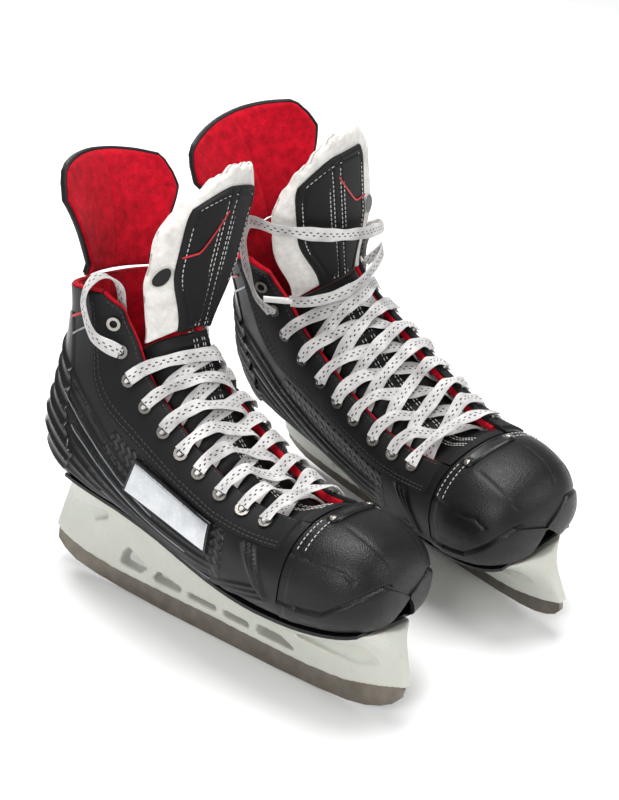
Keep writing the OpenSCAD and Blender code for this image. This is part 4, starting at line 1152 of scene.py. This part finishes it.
for side in SIDES:
    v = edge_steps(90, 0.03, 5)[:, None]
    s = (2 * edge_steps(80, 0.03, 5) - 1)[None, :]
    v, s = np.broadcast_arrays(v, s)
    share = np.interp(v, GUARD[:, 0], GUARD[:, 1])
    edge = np.minimum(np.minimum(v, 1 - v) * GUARD_H, (1 - np.abs(s)) * GUARD_W / 2 * share)
    seam = ridge(s * GUARD_W / 2 * share, 1.0)
    wave = 0.5 * np.sin(v * 9 + s * 3) + 0.4 * np.sin(v * 17 - s * 6)
    swell = rounded(edge, 3.5) * (3.9 - 1.1 * seam + 0.35 * wave)
    face = guard_point(v, s, -0.2, 0.985) - np.stack([0 * v, swell, 0 * v], -1)
    piece = pad(side + "_guard_lining", face, guard_point(v, s, 0.0, 0.985), side, "guard", RED_FELT,
                "liner_red", side + "_guard_felt")
    thick = rounded(edge, 1.6) * (2.1 + 0.5 * ridge(np.abs(s) - 0.45, 0.05))
    back = guard_point(v, s, 0.1, 1.0) + np.stack([0 * v, thick, 0 * v], -1)
    pad(side + "_guard_back", guard_point(v, s, -0.1, 1.0), back, side, "guard", SATIN, "shell_plastic",
        side + "_guard_shell")
    rim = ([(f, -1) for f in np.linspace(0.02, 1, 60)] + [(1, q) for q in np.linspace(-0.97, 0.97, 50)]
           + [(f, 1) for f in np.linspace(1, 0.02, 60)])
    line = np.array([guard_point(a, b, 0.2) for a, b in rim])
    band(side + "_guard_binding", line, np.tile([[0, -1.0, 0]], (len(line), 1)), side, "guard", LEATHER,
         "band_leather", 2.2, 4.6)
print("tendon guards done")

# %% [markdown]
# The lace criss-crosses up the boot: out from under one flap, over the tongue, over the other flap and in
# through its eyelet. The strands that cross on top ride over the ones below.

# %% Laces
def on_boot(u, t, off):
    return skin(u, t, off), outward(u, t)


def strand(i, k, s, over):
    """Stops of one crossing, from under the flap at eyelet i to the mouth of eyelet k."""
    u0, u1 = EYELET_U[i], EYELET_U[k]
    a, b, o, p = (float(x) for x in (eyelet_t(u0), eyelet_t(u1), open_t(u0), open_t(u1)))
    stops = [on_boot(u0, s * (a + 2), LACE_IN), on_boot(u0, s * (a - 5), LACE_IN)]
    for f in (0.1, 0.3, 0.5, 0.7, 0.86):
        u, t = u0 + (u1 - u0) * f, s * (o - 2 - (o + p - 4) * f)
        lift = 0 if f < 0.2 else 1.2 if f > 0.8 else 1
        off = max(float(tongue_off(u, t)), TONGUE_TOP)
        high = max(LACE_OUT - off - 3, 0) * 0.9 * ((f - 0.6) / 0.26 if f > 0.6 else 0)
        stops.append(on_boot(u, t, off + LACE_T / 2 + 2.4 + over * lift * 2 * LACE_T + high))
    stops += [on_boot(u1, -s * (p + 1), LACE_OUT), on_boot(u1, -s * (b - 1), LACE_OUT)]
    return stops


for side in SIDES:
    all_points, all_faces, all_uv = [], [], []

    def gather(points, faces, uv, _):
        base = len(all_points)
        all_points.extend(points)
        all_uv.extend(uv)
        all_faces.extend(tuple(base + q for q in f) for f in faces)

    def take(stops, seed, slack=0.24, count=70):
        line = curve_through([q[0] for q in stops], count)
        facing = curve_through([q[1] for q in stops], count)
        gather(*ribbon(line, facing, start_mm=seed * 13.7, slack=slack, seed=seed))

    for i in range(LACED - 1):
        for s in (-1, 1):
            take(strand(i, i + 1, s, (s + 1) / 2), i * 2 + (s + 1) / 2 + (5 if side == "left" else 0))
    u0 = EYELET_U[0]
    take([on_boot(u0, f * float(eyelet_t(u0)), LACE_OUT if abs(f) > 0.5 else LACE_OUT - 0.5)
        for f in (-1, -0.72, -0.4, 0, 0.4, 0.72, 1)], 40)
    for s in (-1, 1):
        u0, u1 = EYELET_U[LACED - 1], EYELET_U[LACED]
        hidden = [u0 + (u1 - u0) * f for f in (0, 0.35, 0.7, 1)]
        take([on_boot(u, s * float(eyelet_t(u)), LACE_IN) for u in hidden], 50 + s, 0.0, 20)
        for i in range(LACED + 1):
            u = EYELET_U[i]
            t = s * float(eyelet_t(u))
            centre, axis = skin(u, t, 0), outward(u, t)
            along = np.cross(axis, [1, 0, 0.3])
            path = [centre + axis * h for h in np.linspace(LACE_IN, LACE_OUT + 0.3, 8)]
            gather(*ribbon(path, [along] * 8, 4.2, 2.4))
    piece = add_mesh(side + "_lacing", all_points, all_faces, side, "skate", all_uv, sharp=70)
    dress(piece, LACE, "lace_cotton", side + "_lace")
print("laces done")

# %% [markdown]
# The hard parts keep the design's own shapes. The steel gets a fine bevel by a modifier.
# The holder is moulded, so its edges are all round: a remesh with a little smoothing gives it a cast skin.

# %% Hard parts
def paint_node(name, paint, bevel_mm=0.0):
    piece = bpy.data.objects[name]
    piece.data.materials.clear()
    piece.data.materials.append(paint)
    for slot_index in range(len(piece.material_slots)):
        piece.material_slots[slot_index].material = paint
    if bevel_mm:
        bevel = piece.modifiers.new("bevel", "BEVEL")
        bevel.width = bevel_mm * MM
        bevel.segments = 2
        bevel.limit_method = "ANGLE"
        bevel.angle_limit = math.radians(40)
    return piece


SOLE = satin_plastic()
SOLE.name = "sole_moulded_satin"
BOARD = mottled("insole_fibre_board", "#7d6a50", "#a08a6a", 2, 5, 0.1, Roughness=0.8)
KNIT = felt("footbed_brushed_knit", "#17171a", "#232327", 0.1)
for side in SIDES:
    paint_node(side + "_runner", STEEL, 0.15)
    for name, paint in (("runner_bolts", ZINC), ("barrel_nuts", ZINC), ("holder_screws", ZINC),
                        ("eyelets", NICKEL), ("outsole", SOLE), ("insole_board", BOARD),
                        ("footbed", KNIT), ("ankle_pads", KNIT)):
        paint_node(side + "_" + name, paint)
    holder = paint_node(side + "_holder", NYLON)
    remesh = holder.modifiers.new("skin", "REMESH")
    remesh.mode = "VOXEL"
    remesh.voxel_size = 0.0011
    remesh.use_smooth_shade = True
    relax = holder.modifiers.new("relax", "SMOOTH")
    relax.iterations = 6
    relax.factor = 0.5
print("hard parts painted")

# %% [markdown]
# A plain pale floor and three soft lights: a broad one above, a key from the left and a rim from behind.

# %% Floor and light
floor = bpy.data.meshes.new("floor")
FLOOR_HALF = 3.0
floor.from_pydata([(-FLOOR_HALF, -FLOOR_HALF, 0), (FLOOR_HALF, -FLOOR_HALF, 0), (FLOOR_HALF, FLOOR_HALF, 0),
    (-FLOOR_HALF, FLOOR_HALF, 0)], [], [(0, 1, 2, 3)])
floor_piece = bpy.data.objects.new("floor", floor)
bpy.context.scene.collection.objects.link(floor_piece)
floor_piece.data.materials.append(mottled("floor_white_paper", "#f4f4f3", "#f8f8f8", 60, 2, Roughness=0.9))


def soft_light(name, place, size, watts):
    lamp = bpy.data.lights.new(name, "AREA")
    lamp.shape = "DISK"
    lamp.size = size
    lamp.energy = watts
    holder = bpy.data.objects.new(name, lamp)
    holder.location = place
    holder.rotation_euler = (TARGET - Vector(place)).to_track_quat("-Z", "Y").to_euler()
    bpy.context.scene.collection.objects.link(holder)


soft_light("overhead", (0.1, 0.1, 1.6), 1.0, 24)
soft_light("key", (-1.4, -0.7, 1.1), 0.7, 15)
soft_light("fill", (0.7, -1.5, 0.9), 0.8, 8)
soft_light("rim", (0.5, 1.5, 0.9), 0.6, 12)
world = bpy.data.worlds.new("studio")
world.use_nodes = True
sky = world.node_tree.nodes["Background"]
sky.inputs[0].default_value, sky.inputs[1].default_value = linear("#f2f3f5"), 0.45
bpy.context.scene.world = world
bpy.context.scene.view_settings.view_transform = "Standard"
print("floor and lights done")
